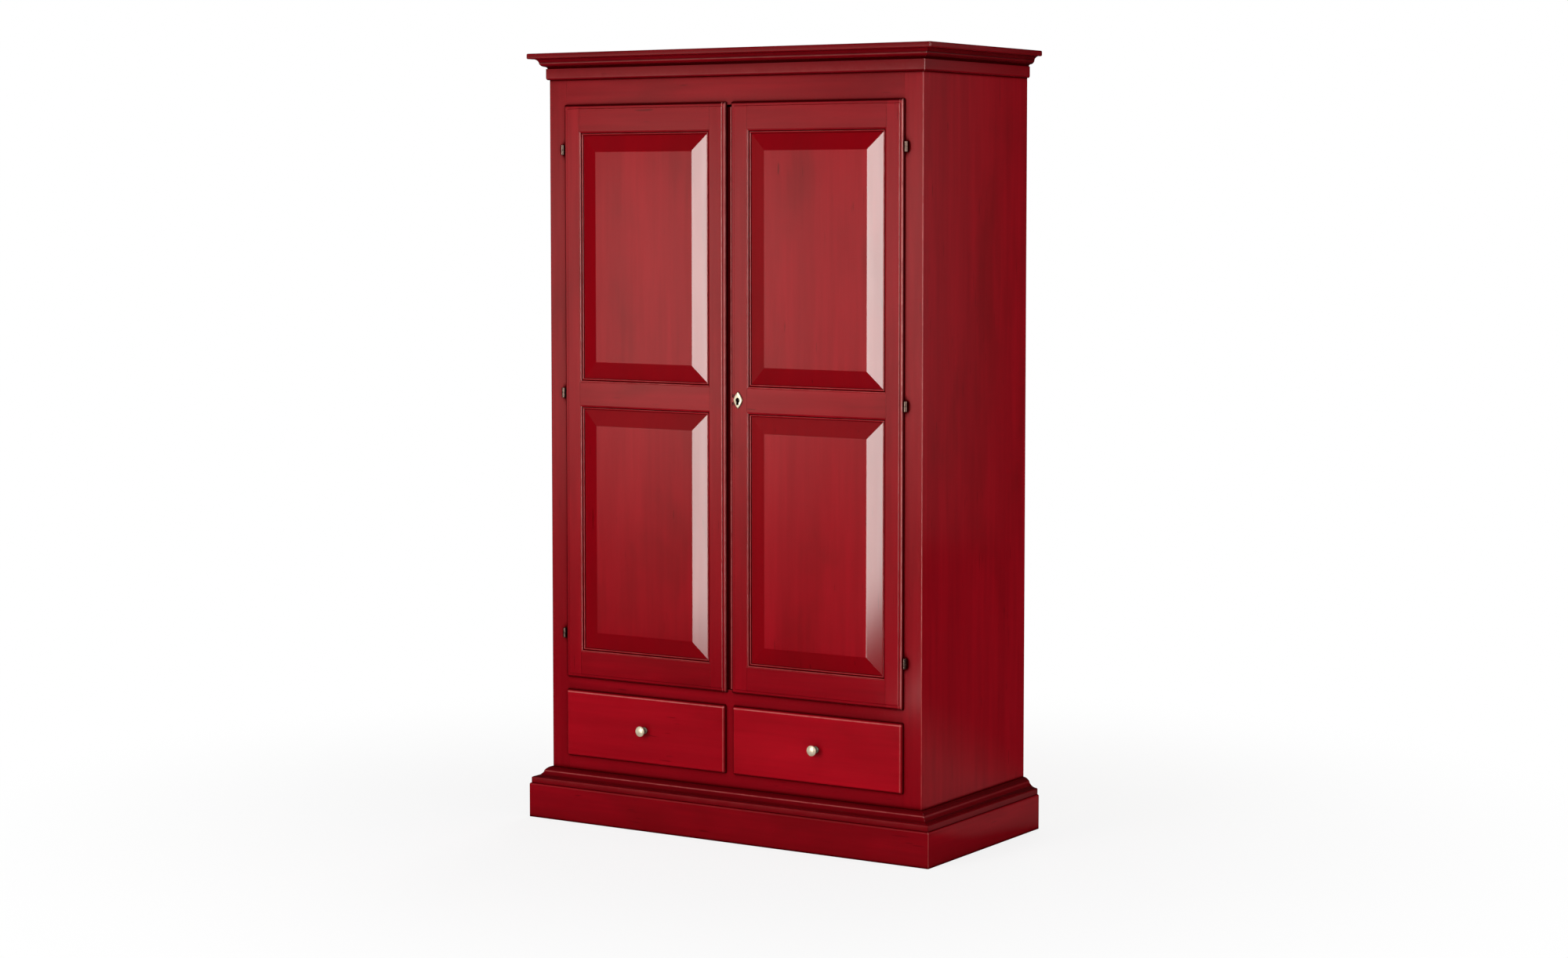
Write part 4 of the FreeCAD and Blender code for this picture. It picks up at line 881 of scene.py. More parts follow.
def lockHollows(x, z, front):
    # a ball presses the finger hollow into the lip: its front + the root of radius ** 2 - distance ** 2; the
    # keyhole has a straight pocket
    x, z = crossed(x, z)
    away = (x - doorX[0] + lock.scoopOut) ** 2 + (z - lockZ) ** 2
    ball = np.sqrt(np.maximum(lock.scoopRadius ** 2 - away, 0))
    front = np.maximum(front, np.where(ball > 0, (door.face - lock.scoopFront) * mm + ball, -1))
    pocket = (np.abs(x - lockX) < lock.pocketWide) & (z < lockZ + lock.pocketUp) & (z > lockZ - lock.pocketDown)
    return np.where(pocket, lock.pocketDepth, front)


def doorFrame(side):
    # stiles and rails as one slab with two openings, jointed at the outer line of the sticking
    joints = [openingX[0] - stickReach, openingX[1] + stickReach]
    fine = np.array([-1, 0, 1]) * faceFrameValues["joint"] * mm
    x = doorLines(doorX, [openingX], *(place + fine for place in joints))
    z = doorLines(doorZ, openings.values())
    if side == "right":
        x, z = lockLines(x, z)
    front, back = doorDepths(x, z)
    ends = [doorZ[0] + door.jointEnd * mm, doorZ[1] - door.jointEnd * mm]
    for _, _, bottom, top in doorHoles:
        ends[-1:-1] = [bottom - stickReach, top + stickReach]
    for place in joints:
        for limits in zip(ends[::2], ends[1::2]):
            front = jointGroove(x, z, front, place, limits)
    if side == "right":
        front = lockHollows(x, z, front)
    return slab(x, z, faceY + front, faceY + back, cellsOutside(x, z, doorHoles))


def edgeGaps(places):
    # how far places on a door or drawer front lie in from its right, left, top and lower edge, in millimetres
    x, _, z = places.T / mm
    return x.max() - x, x - x.min(), z.max() - z, z - z.min()


def openingGaps(centres):
    # how far places lie beside the openings, and above or below the nearer one
    x, _, z = np.abs(centres).T
    above = np.min([np.maximum(bottom - z, z - top) for bottom, top in openings.values()], axis=0)
    return np.maximum(openingX[0] - x, x - openingX[1]), above


doorLooks = {
    # by side: distances in from the edge that looks right, with the wear and painted highlight of its round and
    # shoulder, and its painted shade
    "right": {"wear": ([1.0, 2.0, 3.0, 4.0, 5.5, 9.9, 10.6, 11.3, 12.5], [0, 0.3, 1.0, 0.8, 0, 0, 0.5, 0.65, 0]),
              "shade": ([0, 2.0, 3.0], [0.36, 0.45, 1.0]), "stiles": 1.0},
    "left": {"wear": ([0, 1.0, 4.0, 5.5, 9.9, 10.6, 11.3, 12.5], [0.3, 0.4, 0.4, 0, 0, 0.8, 1.0, 0]),
             "shade": ([0, 3.0, 3.8], [0.6, 0.8, 1.0]), "stiles": 0.96},
    # the upper edge: a faint painted highlight on its shoulder, and painted shade on its round; the other edges:
    # painted shade on their rounds
    "topWear": ([9.9, 10.6, 11.3, 12.5], [0, 0.2, 0.25, 0]),
    "topShade": ([0, 3.6, 4.4], [0.16, 0.22, 1.0]),
    "otherShade": ([0, 3.6, 4.4], [0.35, 0.45, 1.0]),
    # how wide the edges are, how far back the wear and painted highlight go, their share low down, and the wear of
    # the sticking with its painted highlight
    "edgeWidth": 13, "wearBack": 2.2 * mm, "lowWear": ([0.15, 1.2], [0.6, 1]), "stickWear": 0.75,
    # varnish on the upper and right edges and their widths, and in the sticking
    "topEdge": 4, "rightEdge": 2.6, "edgeCoat": 0.1, "stickCoat": 0.4, "turned": 0.3,
    # shades of the rails from below and of the panels, and how far the search for hollows goes
    "rails": [0.93, 1.06, 0.93], "fields": 1.12, "creaseReach": 5.0, "panelCrease": 1.2 * mm,
    # board numbers: one step for each member or panel, and a start for the rails
    "first": {"left": 103.0, "right": 67.0}, "step": 3.7, "railStart": 9.1,
}
hollowLooks = {
    # the finger hollow: its width and height that carry a painted highlight, its ends in painted shade, and the
    # search for hollows; the keyhole: its pocket painted dark as shade, behind, beside and above the centre
    "wornWide": 5, "wornTall": 5.5, "pale": 1.3, "paleTall": 6, "endsWide": 9, "ends": (6.5, 14.5), "dark": 0.3,
    "reachWide": 6, "reachTall": 6, "reach": 0.5,
    "pocketBack": 6 * mm, "pocketWide": 7 * mm, "pocketTall": 14, "pocketTone": 0.04,
}
face, hollow = SimpleNamespace(**doorLooks), SimpleNamespace(**hollowLooks)


def doorRubAndHighlight(side):
    # near the door's edges wear and painted highlight go by the distance in from them; elsewhere it is the mesh's own
    def rub(points, wear):
        right, left, top, bottom = edgeGaps(points)
        outer = np.maximum(np.interp(right, *doorLooks[side]["wear"]), np.interp(top, *face.topWear))
        outer *= (points[:, 1] < faceY - face.wearBack) * np.interp(points[:, 2], *face.lowWear)
        # a painted highlight in the finger hollow
        if side == "right":
            tall = np.abs(points[:, 2] - lockZ) < hollow.wornTall * mm
            outer = np.maximum(outer, (left < hollow.wornWide) * tall)
        return np.where(np.min([right, left, top, bottom], axis=0) < face.edgeWidth, outer, wear * face.stickWear)
    return rub


def doorVarnish(centres, normals):
    # thin on the upper edge, and in the sticking but where it looks to the right
    right, _, top, _ = edgeGaps(centres)
    quiet = (np.maximum(*openingGaps(centres)) < stickReach) & (normals[:, 0] < face.turned)
    edge = (top < face.topEdge) | (right < face.rightEdge)
    coats = np.where(edge, face.edgeCoat, np.where(quiet, face.stickCoat, 1.0))
    return coats * ((centres[:, 1] < faceY) | (normals[:, 1] > -0.5))


def doorReach(side):
    # how far the search for hollows goes: short in the finger hollow, so that it stays light
    def creaseReach(centres):
        up, left = (centres[:, 2] - lockZ) / mm, edgeGaps(centres)[1]
        scoop = (side == "right") & (left < hollow.reachWide) & (np.abs(up) < hollow.reachTall)
        return np.where(scoop, hollow.reach, face.creaseReach) * mm
    return creaseReach


def sortDoor(side):
    # which member a face belongs to: a mitre parts the stile's sticking from the rail's
    def sort(centres):
        beside, above = openingGaps(centres)
        rail = (beside < stickReach) & (above > beside)
        x, _, z = np.abs(centres).T
        level = np.digitize(z, [limits[0] for limits in openings.values()])
        numbers = face.first[side] + np.where(rail, face.railStart + face.step * level, face.step * (x > openingX[0]))
        tones = np.where(rail, np.array(face.rails)[level], doorLooks[side]["stiles"])
        # painted shade on the rounds of the door's edges, by their distance in
        right, left, top, bottom = edgeGaps(centres)
        tones *= np.interp(right, *doorLooks[side]["shade"]) * np.interp(top, *face.topShade)
        tones *= np.interp(np.minimum(left, bottom), *face.otherShade)
        # the finger hollow: painted shade at its ends and a painted highlight in it; the keyhole's pocket painted
        # nearly black as shade
        if side == "right":
            away = np.abs(centres[:, 2] - lockZ) / mm
            ends = (left < hollow.endsWide) & (away > hollow.ends[0]) & (away < hollow.ends[1])
            tones *= np.where(ends, hollow.dark, 1.0)
            tones = np.where((left < hollow.wornWide) & (away < hollow.paleTall), hollow.pale, tones)
            deep = (centres[:, 1] > faceY - hollow.pocketBack) & (away < hollow.pocketTall)
            deep &= np.abs(centres[:, 0] - lockX) < hollow.pocketWide
            tones = np.where(deep, hollow.pocketTone, tones)
        return rail.astype(int), numbers, tones
    return sort


def raisedPanel(bottom, top):
    # level field and sloped border: by its distance inside the opening a point comes forwards at the slope
    # bevelDrop / bevelWidth, and a parabola eases it into the field
    width, soft, foot, drop = door.bevelWidth, door.fieldRound, door.bevelFoot, door.bevelDrop
    slope = drop / width
    t = np.linspace(0, 1, 6)
    bend = np.stack([width - soft + 2 * soft * t, foot - drop + slope * soft * (1 - t) ** 2], -1)
    profile = np.concatenate([[(-door.tongue, foot + slope * door.tongue)], bend]) * mm
    x, z = (np.concatenate([first + profile[:, 0], last - profile[::-1, 0]])
            for first, last in (openingX, (bottom, top)))
    front = np.interp(inset(*crossed(x, z), *openingX, bottom, top), profile[:, 0], profile[:, 1])
    return slab(x, z, faceY + front, np.full_like(front, faceY + door.panelBack * mm))


def makeDoor(side):
    # the left door is the right one turned over, without the lock
    place = {"right": lambda shell: shell, "left": flipped}[side]
    members = ["hinge_stile", "meeting_stile", "door_top_rail", "door_middle_rail", "door_bottom_rail"]
    makePiece(side + "DoorFrame", place(doorFrame(side)), ["stained_upright", "stained_across"],
              side + "_door", [side + "_" + name for name in members], rub=doorRubAndHighlight(side), forward=0.5, mitred=True,
              sort=sortDoor(side), varnish=doorVarnish, creaseReach=doorReach(side))
    number = face.first[side]
    for name, limits in openings.items():
        number += face.step
        panel = makePiece(side + name.title() + "Panel", place(raisedPanel(*limits)), "stained_upright",
                          side + "_door", [side + "_" + name + "_panel"], number, face.fields, 0.0, mitred=True,
                          creaseReach=face.panelCrease)
        # faces of the sloped border carry 1, from the distance of their middle inside the opening; they get a deeper
        # stain, partly painted shade
        x, _, z = np.abs(readItems(panel.data.polygons, "center", 3)).T
        setShares(panel.data, "sloped", "FACE", inset(x, z, *openingX, *limits) < door.bevelWidth * mm)


# the sunk face is painted dark as the shade of the gap; the nose keeps a paler tone
stripValues = {"hollow": 2.6 * mm, "hollowEnd": 0.4 * mm, "nose": 2.0 * mm, "lip": 0.4 * mm, "dark": 0.16,
               "pale": 0.85, "coat": 0.5, "wear": 0.5, "wearDeep": 1.2 * mm, "soft": 0.3 * mm,
               "creaseReach": 2.5 * mm, "number": 141.3}


def makeMeetingStrip():
    # a sunk face, and beside it a nose whose depth is nose * t ** 2 over its width, t from -1 to 1
    v = SimpleNamespace(**stripValues)
    start, end = low("meeting_strip"), high("meeting_strip")
    first, last, lip = v.hollowEnd, end[0], -doorX[0]
    t = np.linspace(-1, 1, 11)
    nose = np.stack([(first + last) / 2 + (last - first) / 2 * t, start[1] + v.nose * t ** 2], -1)
    floor = start[1] + v.hollow
    ring = np.concatenate([[(start[0], end[1]), (start[0], start[1]), (lip - v.lip, start[1]), (lip, floor),
                            (first, floor)], nose, [(last, end[1])]])

    # painted shade on the sunk face in the gap
    def tone(centres):
        return np.where((centres[:, 0] > first) & (centres[:, 1] < floor), v.pale, v.dark)

    def varnish(centres, _):
        return v.coat * (centres[:, 0] > first)

    def rub(points, _):
        return v.wear * (points[:, 0] > first + mm) * (points[:, 1] < start[1] + v.wearDeep)

    makePiece("meetingStrip", prism(ring, 2, start[2], end[2], v.soft), "stained_upright", "left_door",
              ["meeting_strip"], v.number, tone, rub, varnish=varnish, creaseReach=v.creaseReach)


makeDoor("left")
makeDoor("right")
makeMeetingStrip()
print("doors made")


# Hinges

hingeValues = {
    "barrel": 5.0 * mm, "round": 0.9 * mm, "tight": 0.3, "half": 13 * mm, "gap": 0.15 * mm, "out": 6.25 * mm,
    "standoff": 6 * mm, "endInset": 115 * mm, "stem": 1.5 * mm, "stemLong": 20 * mm, "stemAway": 6.5 * mm,
    "sleeveIn": 1.5 * mm, "sleeveDeep": 2.25 * mm,
}


def knuckle(centreX, bottom, top, roundTop):
    # a short turned barrel; at its ends the radius is barrel - soft * (1 - sine) at soft * (1 - cosine) from the
    # end, and one end is softer
    v = SimpleNamespace(**hingeValues)
    turn = np.linspace(0, np.pi / 2, 6)
    big, little = (np.stack([v.barrel - soft + soft * np.sin(turn), soft * (1 - np.cos(turn))], -1)
                   for soft in (v.round, v.tight * v.round))
    first, last = (little, big) if roundTop else (big, little)
    lower = np.stack([first[:, 0], bottom + first[:, 1]], -1)
    upper = np.stack([last[:, 0], top - last[:, 1]], -1)[::-1]
    profile = np.concatenate([[(0, bottom)], lower, upper, [(0, top)]])
    return turned(profile, (centreX, faceY - v.standoff, 0), 2, 32)


def makeHinges():
    # three hinges a door: pin halves with stems into the frame, sleeve halves with stems into the door's lip
    v = SimpleNamespace(**hingeValues)
    frameX = doorX[1] + v.out
    stem = np.array([(0, 0), (v.stem, 0), (v.stem, v.stemLong), (0, v.stemLong)])
    pins, sleeves = [], []
    for level in (doorZ[0] + v.endInset, (doorZ[0] + doorZ[1]) / 2, doorZ[1] - v.endInset):
        pins.append(knuckle(frameX, level - v.half, level - v.gap, False))
        pins.append(turned(stem, (frameX, faceY - v.standoff, level - v.stemAway), 1, 16))
        sleeves.append(knuckle(frameX, level + v.gap, level + v.half, True))
        sleeves.append(turned(stem * [1, -1], (frameX - v.sleeveIn, faceY - v.sleeveDeep, level + v.stemAway), 0, 16))
    pins += [flipped(shell) for shell in pins]
    for name, shell, body in (("hingePins", joined(*pins), "cabinet"),
                              ("rightHingeSleeves", joined(*sleeves), "right_door"),
                              ("leftHingeSleeves", flipped(joined(*sleeves)), "left_door")):
        node = "hinge_pins" if body == "cabinet" else body.replace("door", "hinge_sleeves")
        makePiece(name, shell, "darkBronze", body, [node])


makeHinges()
print("hinges made")


# Escutcheon

plateValues = {
    "tall": 42, "wide": 26, "rim": 1.3, "rise": 3.6, "hole": 6.2, "slotWide": 7.0, "slotDrop": 12.4, "count": 96,
    "shares": [1, 1, 0.985, 0.95, 0.9, 0.82, 0.7, 0.55, 0.4, 0.25, 0.12, 0.05, 0.0, 0.0], "bulge": 2.4,
    "rimShares": [0, 0.55, 0.95], "holeShares": [0.93, 0],
}


def plateOutlines():
    # the plate's edge is four arcs of radius tall between its side and end points, the keyhole's a circle with a
    # slot below; both as points seen from the keyhole's centre at even angles
    v = SimpleNamespace(**plateValues)
    angle = np.linspace(0, 2 * np.pi, v.count, endpoint=False)
    aim = np.stack([np.cos(angle), np.sin(angle)], -1)
    corner = np.array([v.wide / 2, v.tall / 2])
    out = corner[::-1] / np.hypot(*corner[::-1])
    centre = corner / 2 - out * math.sqrt(v.tall ** 2 - (corner ** 2).sum() / 4)
    along = np.abs(aim) @ centre
    reach = along + np.sqrt(along ** 2 - (centre ** 2).sum() + v.tall ** 2)
    across, up = np.maximum(np.abs(aim), 1e-3).T
    slot = np.minimum(v.slotWide / 2 / across, v.slotDrop / up)
    hole = np.where(aim[:, 1] < 0, np.maximum(v.hole, slot), v.hole)
    return aim * reach[:, None], aim * hole[:, None]


def makeEscutcheon():
    # a loop of rim, dome, keyhole wall and back carried round the centre; over a share of the way out the dome
    # stands rim + (rise - rim) * the root of 1 - share ** bulge high
    v = SimpleNamespace(**plateValues)
    outer, inner = plateOutlines()
    share = np.array(v.shares)
    dome = v.rim + (v.rise - v.rim) * np.sqrt(np.clip(1 - share ** v.bulge, 0, 1))
    dome[:3] = v.rim * np.array(v.rimShares)
    dome[-2:] = v.rise * np.array(v.holeShares)
    x, z = np.moveaxis(inner + (outer - inner) * share[:, None, None], -1, 0)
    depth = np.broadcast_to(dome[:, None], x.shape)
    rings = np.stack([lockX + x * mm, lockCentre[1] - depth * mm, lockZ + z * mm], -1)
    points, faces = loft(rings)
    index = np.arange(len(points)).reshape(x.shape)
    closing = np.stack([index[-1], np.roll(index[-1], -1), np.roll(index[0], -1), index[0]], -1).tolist()
    makePiece("keyEscutcheon", (points, faces[:-2] + closing), "antiqueBrass", "right_door", ["key_escutcheon"],
              sharp=50)


makeEscutcheon()
print("escutcheon made")


# Drawers

drawerValues = {"face": -8.0, "lipBack": -0.5, "back": 14.0, "round": 6.5, "lapDepth": 6.0, "sideThick": 12.0,
                "sideDrop": 10.0, "wearEnd": 8.2}


def drawerFront():
    # the depth in front follows the distance from the edge; behind are the lip, the laps and the inner board
    v = SimpleNamespace(**drawerValues)
    start, end = low("right_drawer_front"), high("right_drawer_front")
    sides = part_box("right_drawer_sides")
    inner = (sides[0].x, sides[1].x, sides[0].z, sides[1].z + v.sideDrop * mm)
    lap = (inner[0] + v.sideThick * mm, inner[1] - v.sideThick * mm, sides[1].z)
    profile = quarter(0, v.face + v.round, v.round, 9) * mm
    lines = np.append(profile[:, 0], v.wearEnd * mm)
    x = gridLines(start[0] + lines, end[0] - lines, *(q + hair for q in inner[:2] + lap[:2]))
    z = gridLines(start[2] + lines, end[2] - lines, *(q + hair for q in inner[2:] + lap[2:]))
    gridX, gridZ = crossed(x, z)
    edge = inset(gridX, gridZ, start[0], end[0], start[2], end[2])
    within = inset(gridX, gridZ, *inner) > 0
    lapped = within & ((gridX < lap[0]) | (gridX > lap[1])) & (gridZ < lap[2])
    back = np.where(lapped, v.lapDepth, np.where(within, v.back, v.lipBack)) * mm + faceY
    return slab(x, z, faceY + np.interp(edge, profile[:, 0], profile[:, 1]), back)


knobValues = {
    "spigot": 4.0, "spigotLong": 10, "foot": 8.6, "footEdge": 0.4, "footThick": (1.0, 1.5, 0.5), "neck": 4.9,
    "neckAt": 8.5, "neckFrom": (1.6, 1.7), "neckBend": 2.2, "head": 13.25, "headAt": 20.4, "headUnder": (1.1, 2.4),
    "flareBend": 2.1, "rim": 1.9, "rimTurn": (-0.9, 1.25), "rimSet": 0.3, "reach": 25.5, "domeBend": 2.2,
    # a far search for hollows, so that painted shade falls on the neck and foot under the head
    "creaseReach": 30 * mm,
}


def knobProfile():
    # spigot, foot, waisted neck and a mushroom head, as radius and height: along t the neck narrows with
    # (1 - t) ** neckBend and the flare widens with t ** flareBend; the dome stands s ** domeBend below its top
    v = SimpleNamespace(**knobValues)
    spigot = [(0, v.spigotLong), (v.spigot, v.spigotLong), (v.spigot, 0)]
    upper, under, ease = v.footThick
    foot = [(v.foot - v.footEdge, 0), (v.foot, -v.footEdge), (v.foot, -upper), (v.foot - ease, -under)]
    t = np.linspace(0, 1, 10)[1:]
    inward, start = v.neckFrom
    neck = np.stack([v.neck + (v.foot - inward - v.neck) * (1 - t) ** v.neckBend,
                     -start - (v.neckAt - start) * t], -1)
    outward, below = v.headUnder
    flare = np.stack([v.neck + (v.head - outward - v.neck) * t ** v.flareBend,
                      -v.neckAt - (v.headAt - below - v.neckAt) * np.sqrt(t)], -1)
    turn = np.linspace(*v.rimTurn, 10)
    rim = np.stack([v.head - v.rim + v.rim * np.cos(turn), -v.headAt - v.rimSet - v.rim * np.sin(turn)], -1)
    s = np.linspace(1, 0, 12)[1:]
    dome = np.stack([rim[-1, 0] * s, -v.reach + (v.reach + rim[-1, 1]) * s ** v.domeBend], -1)
    return np.concatenate([spigot, foot, neck, flare, rim, dome]) * mm


drawerLooks = {
    # wear with a painted highlight, and painted shade, by the distance in from an edge; the upper and the right-hand
    # edge catch the light
    "wear": ([3.0, 4.0, 5.3, 6.5, 7.8], [0, 0.5, 1.0, 0.85, 0]), "wearFrom": 2.5,
    "shares": {"right": 0.6, "left": 0.1, "top": 0.85},
    "rightShade": ([0, 2.5, 4.5], [0.5, 0.7, 1.0]),
    "topShade": ([0, 2.0, 3.5], [0.35, 0.55, 1.0]),
    "otherShade": ([0, 2.5, 4.5], [0.4, 0.6, 1.0]),
    "tones": {"right": 1.4, "left": 1.22}, "numbers": {"right": 151.9, "left": 163.1},
}


def makeDrawer(side, shell):
    v = SimpleNamespace(**drawerLooks)

    # wear and a painted highlight where the round meets the face
    def rub(points, _):
        gaps = dict(zip(("right", "left", "top", "bottom"), edgeGaps(points)))
        worn = np.max([share * np.interp(gaps[edge], *v.wear) for edge, share in v.shares.items()], axis=0)
        return worn * (np.min(list(gaps.values()), axis=0) > v.wearFrom) * (points[:, 1] < faceY)

    # painted shade on the rounds of the edges
    def tone(centres):
        right, left, top, bottom = edgeGaps(centres)
        shade = np.interp(right, *v.rightShade) * np.interp(top, *v.topShade)
        return v.tones[side] * shade * np.interp(np.minimum(left, bottom), *v.otherShade)

    body = side + "_drawer"
    makePiece(side + "DrawerFront", shell, "stained_across", body, [body + "_front"], v.numbers[side], tone, rub)


def makeKnob(side):
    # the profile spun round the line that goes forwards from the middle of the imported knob
    body = side + "_drawer"
    x, _, z = (low(body + "_knob") + high(body + "_knob")) / 2
    shell = turned(knobProfile(), (x, faceY + drawerValues["face"] * mm, z), 1, 56)
    makePiece(side + "DrawerKnob", shell, "antiqueBrass", body, [body + "_knob"], sharp=48,
              creaseReach=knobValues["creaseReach"])


front = drawerFront()
makeDrawer("right", front)
makeDrawer("left", flipped(front))
makeKnob("right")
makeKnob("left")
print("drawers made")


# Parts inside, kept as they come and given their finish

insideLooks = {
    "bare_across": ["bottom_board", "carcass_top", "compartment_floor", "hat_shelf", "plinth_battens",
                    "left_drawer_back", "right_drawer_back", "left_drawer_bottom", "right_drawer_bottom",
                    "clothes_rail"],
    "bare_deep": ["drawer_divider", "drawer_guides", "shelf_battens", "left_drawer_sides", "right_drawer_sides"],
    "oiledIron": ["rail_sockets", "lock_case", "lock_bolt", "upper_bolt", "lower_bolt", "bolt_guides"],
}
lookOf = {name: look for look, names in insideLooks.items() for name in names}
for name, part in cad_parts.items():
    part.data.materials.clear()
    part.data.materials.append(looks[lookOf.get(name, "stained_upright")])


# Stage, light and camera

white = (1, 1, 1, 1)


def addToScene(name, data):
    made = bpy.data.objects.new(name, data)
    bpy.context.scene.collection.objects.link(made)
    return made


def stageMesh(name, points, faces, material, hidden=True):
    # a piece of the stage; one that is hidden shows in reflections alone
    mesh = bpy.data.meshes.new(name)
    mesh.from_pydata(points, [], faces)
    mesh.materials.append(material)
    made = addToScene(name, mesh)
    for way in ("camera", "diffuse", "transmission", "shadow", "volume_scatter"):
        setattr(made, "visible_" + way, not hidden)
    return mesh


def seenRays(tree):
    # 1 for the camera's rays and for those in reflections and through glass
    path = addNode("ShaderNodeLightPath", {}, tree)
    seen = calc("MAXIMUM", path["Is Camera Ray"], path["Is Glossy Ray"])
    return calc("MAXIMUM", seen, path["Is Transmission Ray"])


# white: from where to where the floor turns to the background, and how far it has turned there
floorValues = {"half": 40.0, "colour": (0.9, 0.9, 0.9, 1), "white": (0.7, 2.4, 0.82, 1.0)}


def makeFloor():
    # a pale floor whose shadow stays; far from the object it turns to the white of the background
    v = SimpleNamespace(**floorValues)
    material, tree = newMaterial("paleFloor")
    away = addNode("ShaderNodeVectorMath", {0: objectPlace(tree)}, operation="LENGTH")["Value"]
    surface(tree, "ShaderNodeMixShader", {
        0: times(seenRays(tree), spread(away, *v.white)),
        1: addNode("ShaderNodeBsdfDiffuse", {"Color": v.colour}, tree)[0],
        2: addNode("ShaderNodeEmission", {"Color": white, "Strength": 1.0}, tree)[0]})
    corners = np.array([(-1, -1, 0), (1, -1, 0), (1, 1, 0), (-1, 1, 0)]) * v.half
    stageMesh("floor", corners, [[0, 1, 2, 3]], material, hidden=False)


warm, neutral = (1.03, 1.0, 0.87, 1), (1.0, 1.0, 0.96, 1)
softboxAround = [(-17.5, 0), (-16.5, 0.72), (-4.5, 1), (-3.5, 0)]
leftAround = [(-56, 0), (-44, 0.5), (-38.5, 0.66), (-36.5, 1), (-32, 1), (-30.3, 0.84), (-29.2, 0.74),
              (-28.1, 0.56), (-27.1, 0.54), (-26, 0.68), (-25, 0.78), (-23.5, 0.8), (-20, 0)]
studioCards = {
    # distance, glow, colour, then azimuth from the front and height, each with the share of the glow there
    "darkRoom": (9.0, 0.01, neutral, [(-180, 1), (180, 1)], [(-0.05, 1), (9.2, 1)]),
    "leftCard": (7.2, 1.08, warm, leftAround, [(0, 0.30), (0.3, 0.58), (0.66, 0.92), (0.9, 1), (1.6, 1), (1.95, 0.70),
                                               (2.1, 0.50), (2.25, 0.30), (2.6, 0.18), (3.6, 0.12), (4.2, 0)]),
    "softbox": (6.3, 16.0, neutral, softboxAround, [(0, 0.85), (0.42, 0.90), (0.9, 0.96), (3.3, 1), (3.4, 0)]),
    "rightCard": (7.2, 2.8, neutral, [(38, 0), (44, 1), (104, 1), (112, 0)],
                  [(0, 0.3), (1.0, 1), (3.2, 1), (3.6, 0)]),
    "sideCard": (7.2, 0.19, neutral, [(116, 0), (122, 1), (144, 1), (149, 0)],
                 [(0, 0.45), (0.6, 0.85), (1.0, 1), (3.0, 1), (3.6, 0.5)]),
}
floorSheens = {
    # a card's own light on the studio floor: height, glow, colour, azimuth and distance, each with its share
    "softboxSheen": (0.004, 16.0, neutral, softboxAround, [(2.2, 0), (3.0, 0.3), (4.65, 0.8), (6.3, 0.85)]),
    "leftSheen": (0.004, 1.08, warm, leftAround, [(3.0, 0), (3.7, 0.06), (4.4, 0.13), (5.1, 0.17), (5.9, 0.21),
                                                  (7.2, 0.27)]),
    "sideSheen": (0.004, 0.10, neutral, [(92, 0), (100, 1), (128, 1), (139, 0)],
                  [(0.66, 0), (0.74, 1), (2.2, 1), (3.2, 0)]),
}
studioDiscs = {
    # height, radius, glow
    "darkFloor": (0.002, 9.4, 0.006), "darkCeiling": (9.0, 9.4, 0.01), "topCard": (5.6, 1.6, 1.2),
}
stageSteps = {"card": (90, 60), "sheen": (60, 40), "disc": 48}


def makeCard(name, values, upright, counts):
    # a curved screen round the object, like the flags and cards of a studio, or a sheen on the floor: x and y are
    # distance * sine and -distance * cosine of the azimuth; its light follows the product of two shares
    fixed, glow, colour, around, outwards = values
    azimuth = np.linspace(around[0][0], around[-1][0], counts[0])
    other = np.linspace(outwards[0][0], outwards[-1][0], counts[1])
    angle, varied = np.meshgrid(np.radians(azimuth), other)
    distance, level = (fixed, varied) if upright else (varied, np.full_like(angle, fixed))
    points = np.stack([distance * np.sin(angle), -distance * np.cos(angle), level], -1)
    share = np.interp(other, *zip(*outwards))[:, None] * np.interp(azimuth, *zip(*around))[None]
    material, tree = newMaterial(name)
    surface(tree, "ShaderNodeEmission", {"Color": colour, "Strength": times(meshShare(tree, "glow"), glow)})
    mesh = stageMesh(name, points.reshape(-1, 3), gridQuads(*share.shape).tolist(), material)
    setShares(mesh, "glow", "POINT", share.reshape(-1))


def makeDisc(name, height, radius, glow):
    # a level disc of light above or below everything, its rim at radius * cosine and sine of even angles
    angle = np.linspace(0, 2 * np.pi, stageSteps["disc"], endpoint=False)
    points = np.stack([radius * np.cos(angle), radius * np.sin(angle), np.full_like(angle, height)], -1)
    material, tree = newMaterial(name)
    surface(tree, "ShaderNodeEmission", {"Color": white, "Strength": glow})
    stageMesh(name, points, [list(range(len(points)))], material)


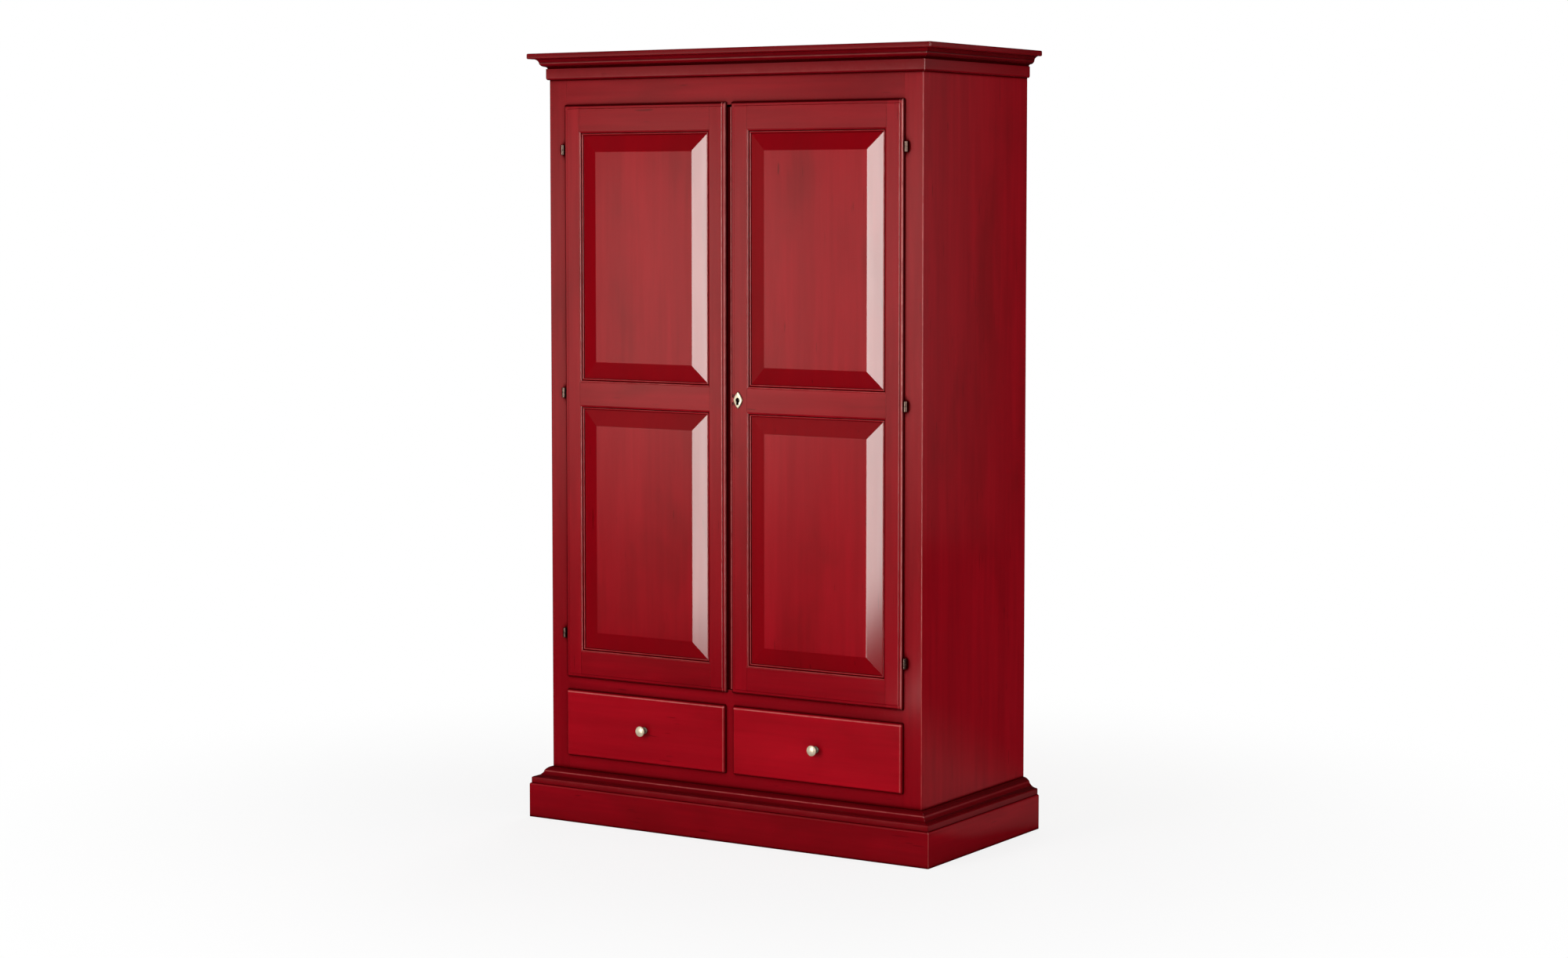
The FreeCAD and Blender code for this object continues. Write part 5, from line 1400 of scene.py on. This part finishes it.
lampValues = {
    # place, aim, width, height, power
    "keyLamp": ((-1.1, -6.25, 1.7), (0.0, 0.0, 1.2), 1.4, 2.0, 80),
    "frontLamp": ((-0.9, -3.7, 1.6), (0.0, 0.0, 1.2), 1.3, 1.3, 34),
    "highLamp": ((-0.3, -2.6, 4.6), (0.0, 0.0, 1.0), 2.6, 2.0, 24),
    "rightLamp": ((5.2, 0.3, 2.0), (0.0, 0.0, 1.1), 2.2, 2.2, 72),
    "rearLamp": ((-1.5, 5.5, 3.0), (0.0, 0.0, 1.0), 2.4, 2.4, 120),
}


def makeLamp(name, place, aim, width, height, power):
    # a broad lamp that looks from its place to its aim, and that neither the camera nor reflections see
    data = bpy.data.lights.new(name, "AREA")
    data.shape = "RECTANGLE"
    data.size, data.size_y, data.energy = width, height, power
    lamp = addToScene(name, data)
    lamp.location = place
    way = np.array(place) - np.array(aim)
    lamp.rotation_euler = (math.atan2(np.hypot(*way[:2]), way[2]), 0, math.atan2(way[0], -way[1]))
    lamp.visible_camera = lamp.visible_glossy = False


worldLevel = 0.36


def makeWorld():
    # white where it is seen, in the picture and in reflections, and a plain level of light elsewhere
    world = bpy.data.worlds.new("studio")
    bpy.context.scene.world = world
    tree = emptyTree(world)
    ambient, plain = (addNode("ShaderNodeBackground", {"Color": white, "Strength": strength}, tree)[0]
                      for strength in (worldLevel, 1.0))
    mixed = addNode("ShaderNodeMixShader", {0: seenRays(tree), 1: ambient, 2: plain})[0]
    addNode("ShaderNodeOutputWorld", {0: mixed})


cameraValues = {"place": (4.2752, -6.7265, 1.6231), "yaw": 32.392, "pitch": 4.017, "lens": 70.899, "shift": -0.04}


def makeCamera():
    v = SimpleNamespace(**cameraValues)
    data = bpy.data.cameras.new("camera")
    data.sensor_width, data.lens, data.shift_y = 36, v.lens, v.shift
    camera = addToScene("camera", data)
    camera.location = v.place
    camera.rotation_euler = (math.radians(90 - v.pitch), 0, math.radians(v.yaw))
    bpy.context.scene.camera = camera


makeFloor()
for name, values in studioCards.items():
    makeCard(name, values, True, stageSteps["card"])
for name, values in floorSheens.items():
    makeCard(name, values, False, stageSteps["sheen"])
for name, values in studioDiscs.items():
    makeDisc(name, *values)
for name, values in lampValues.items():
    makeLamp(name, *values)
makeWorld()
makeCamera()
bpy.context.scene.view_settings.view_transform = "Standard"
print("stage, light and camera made")
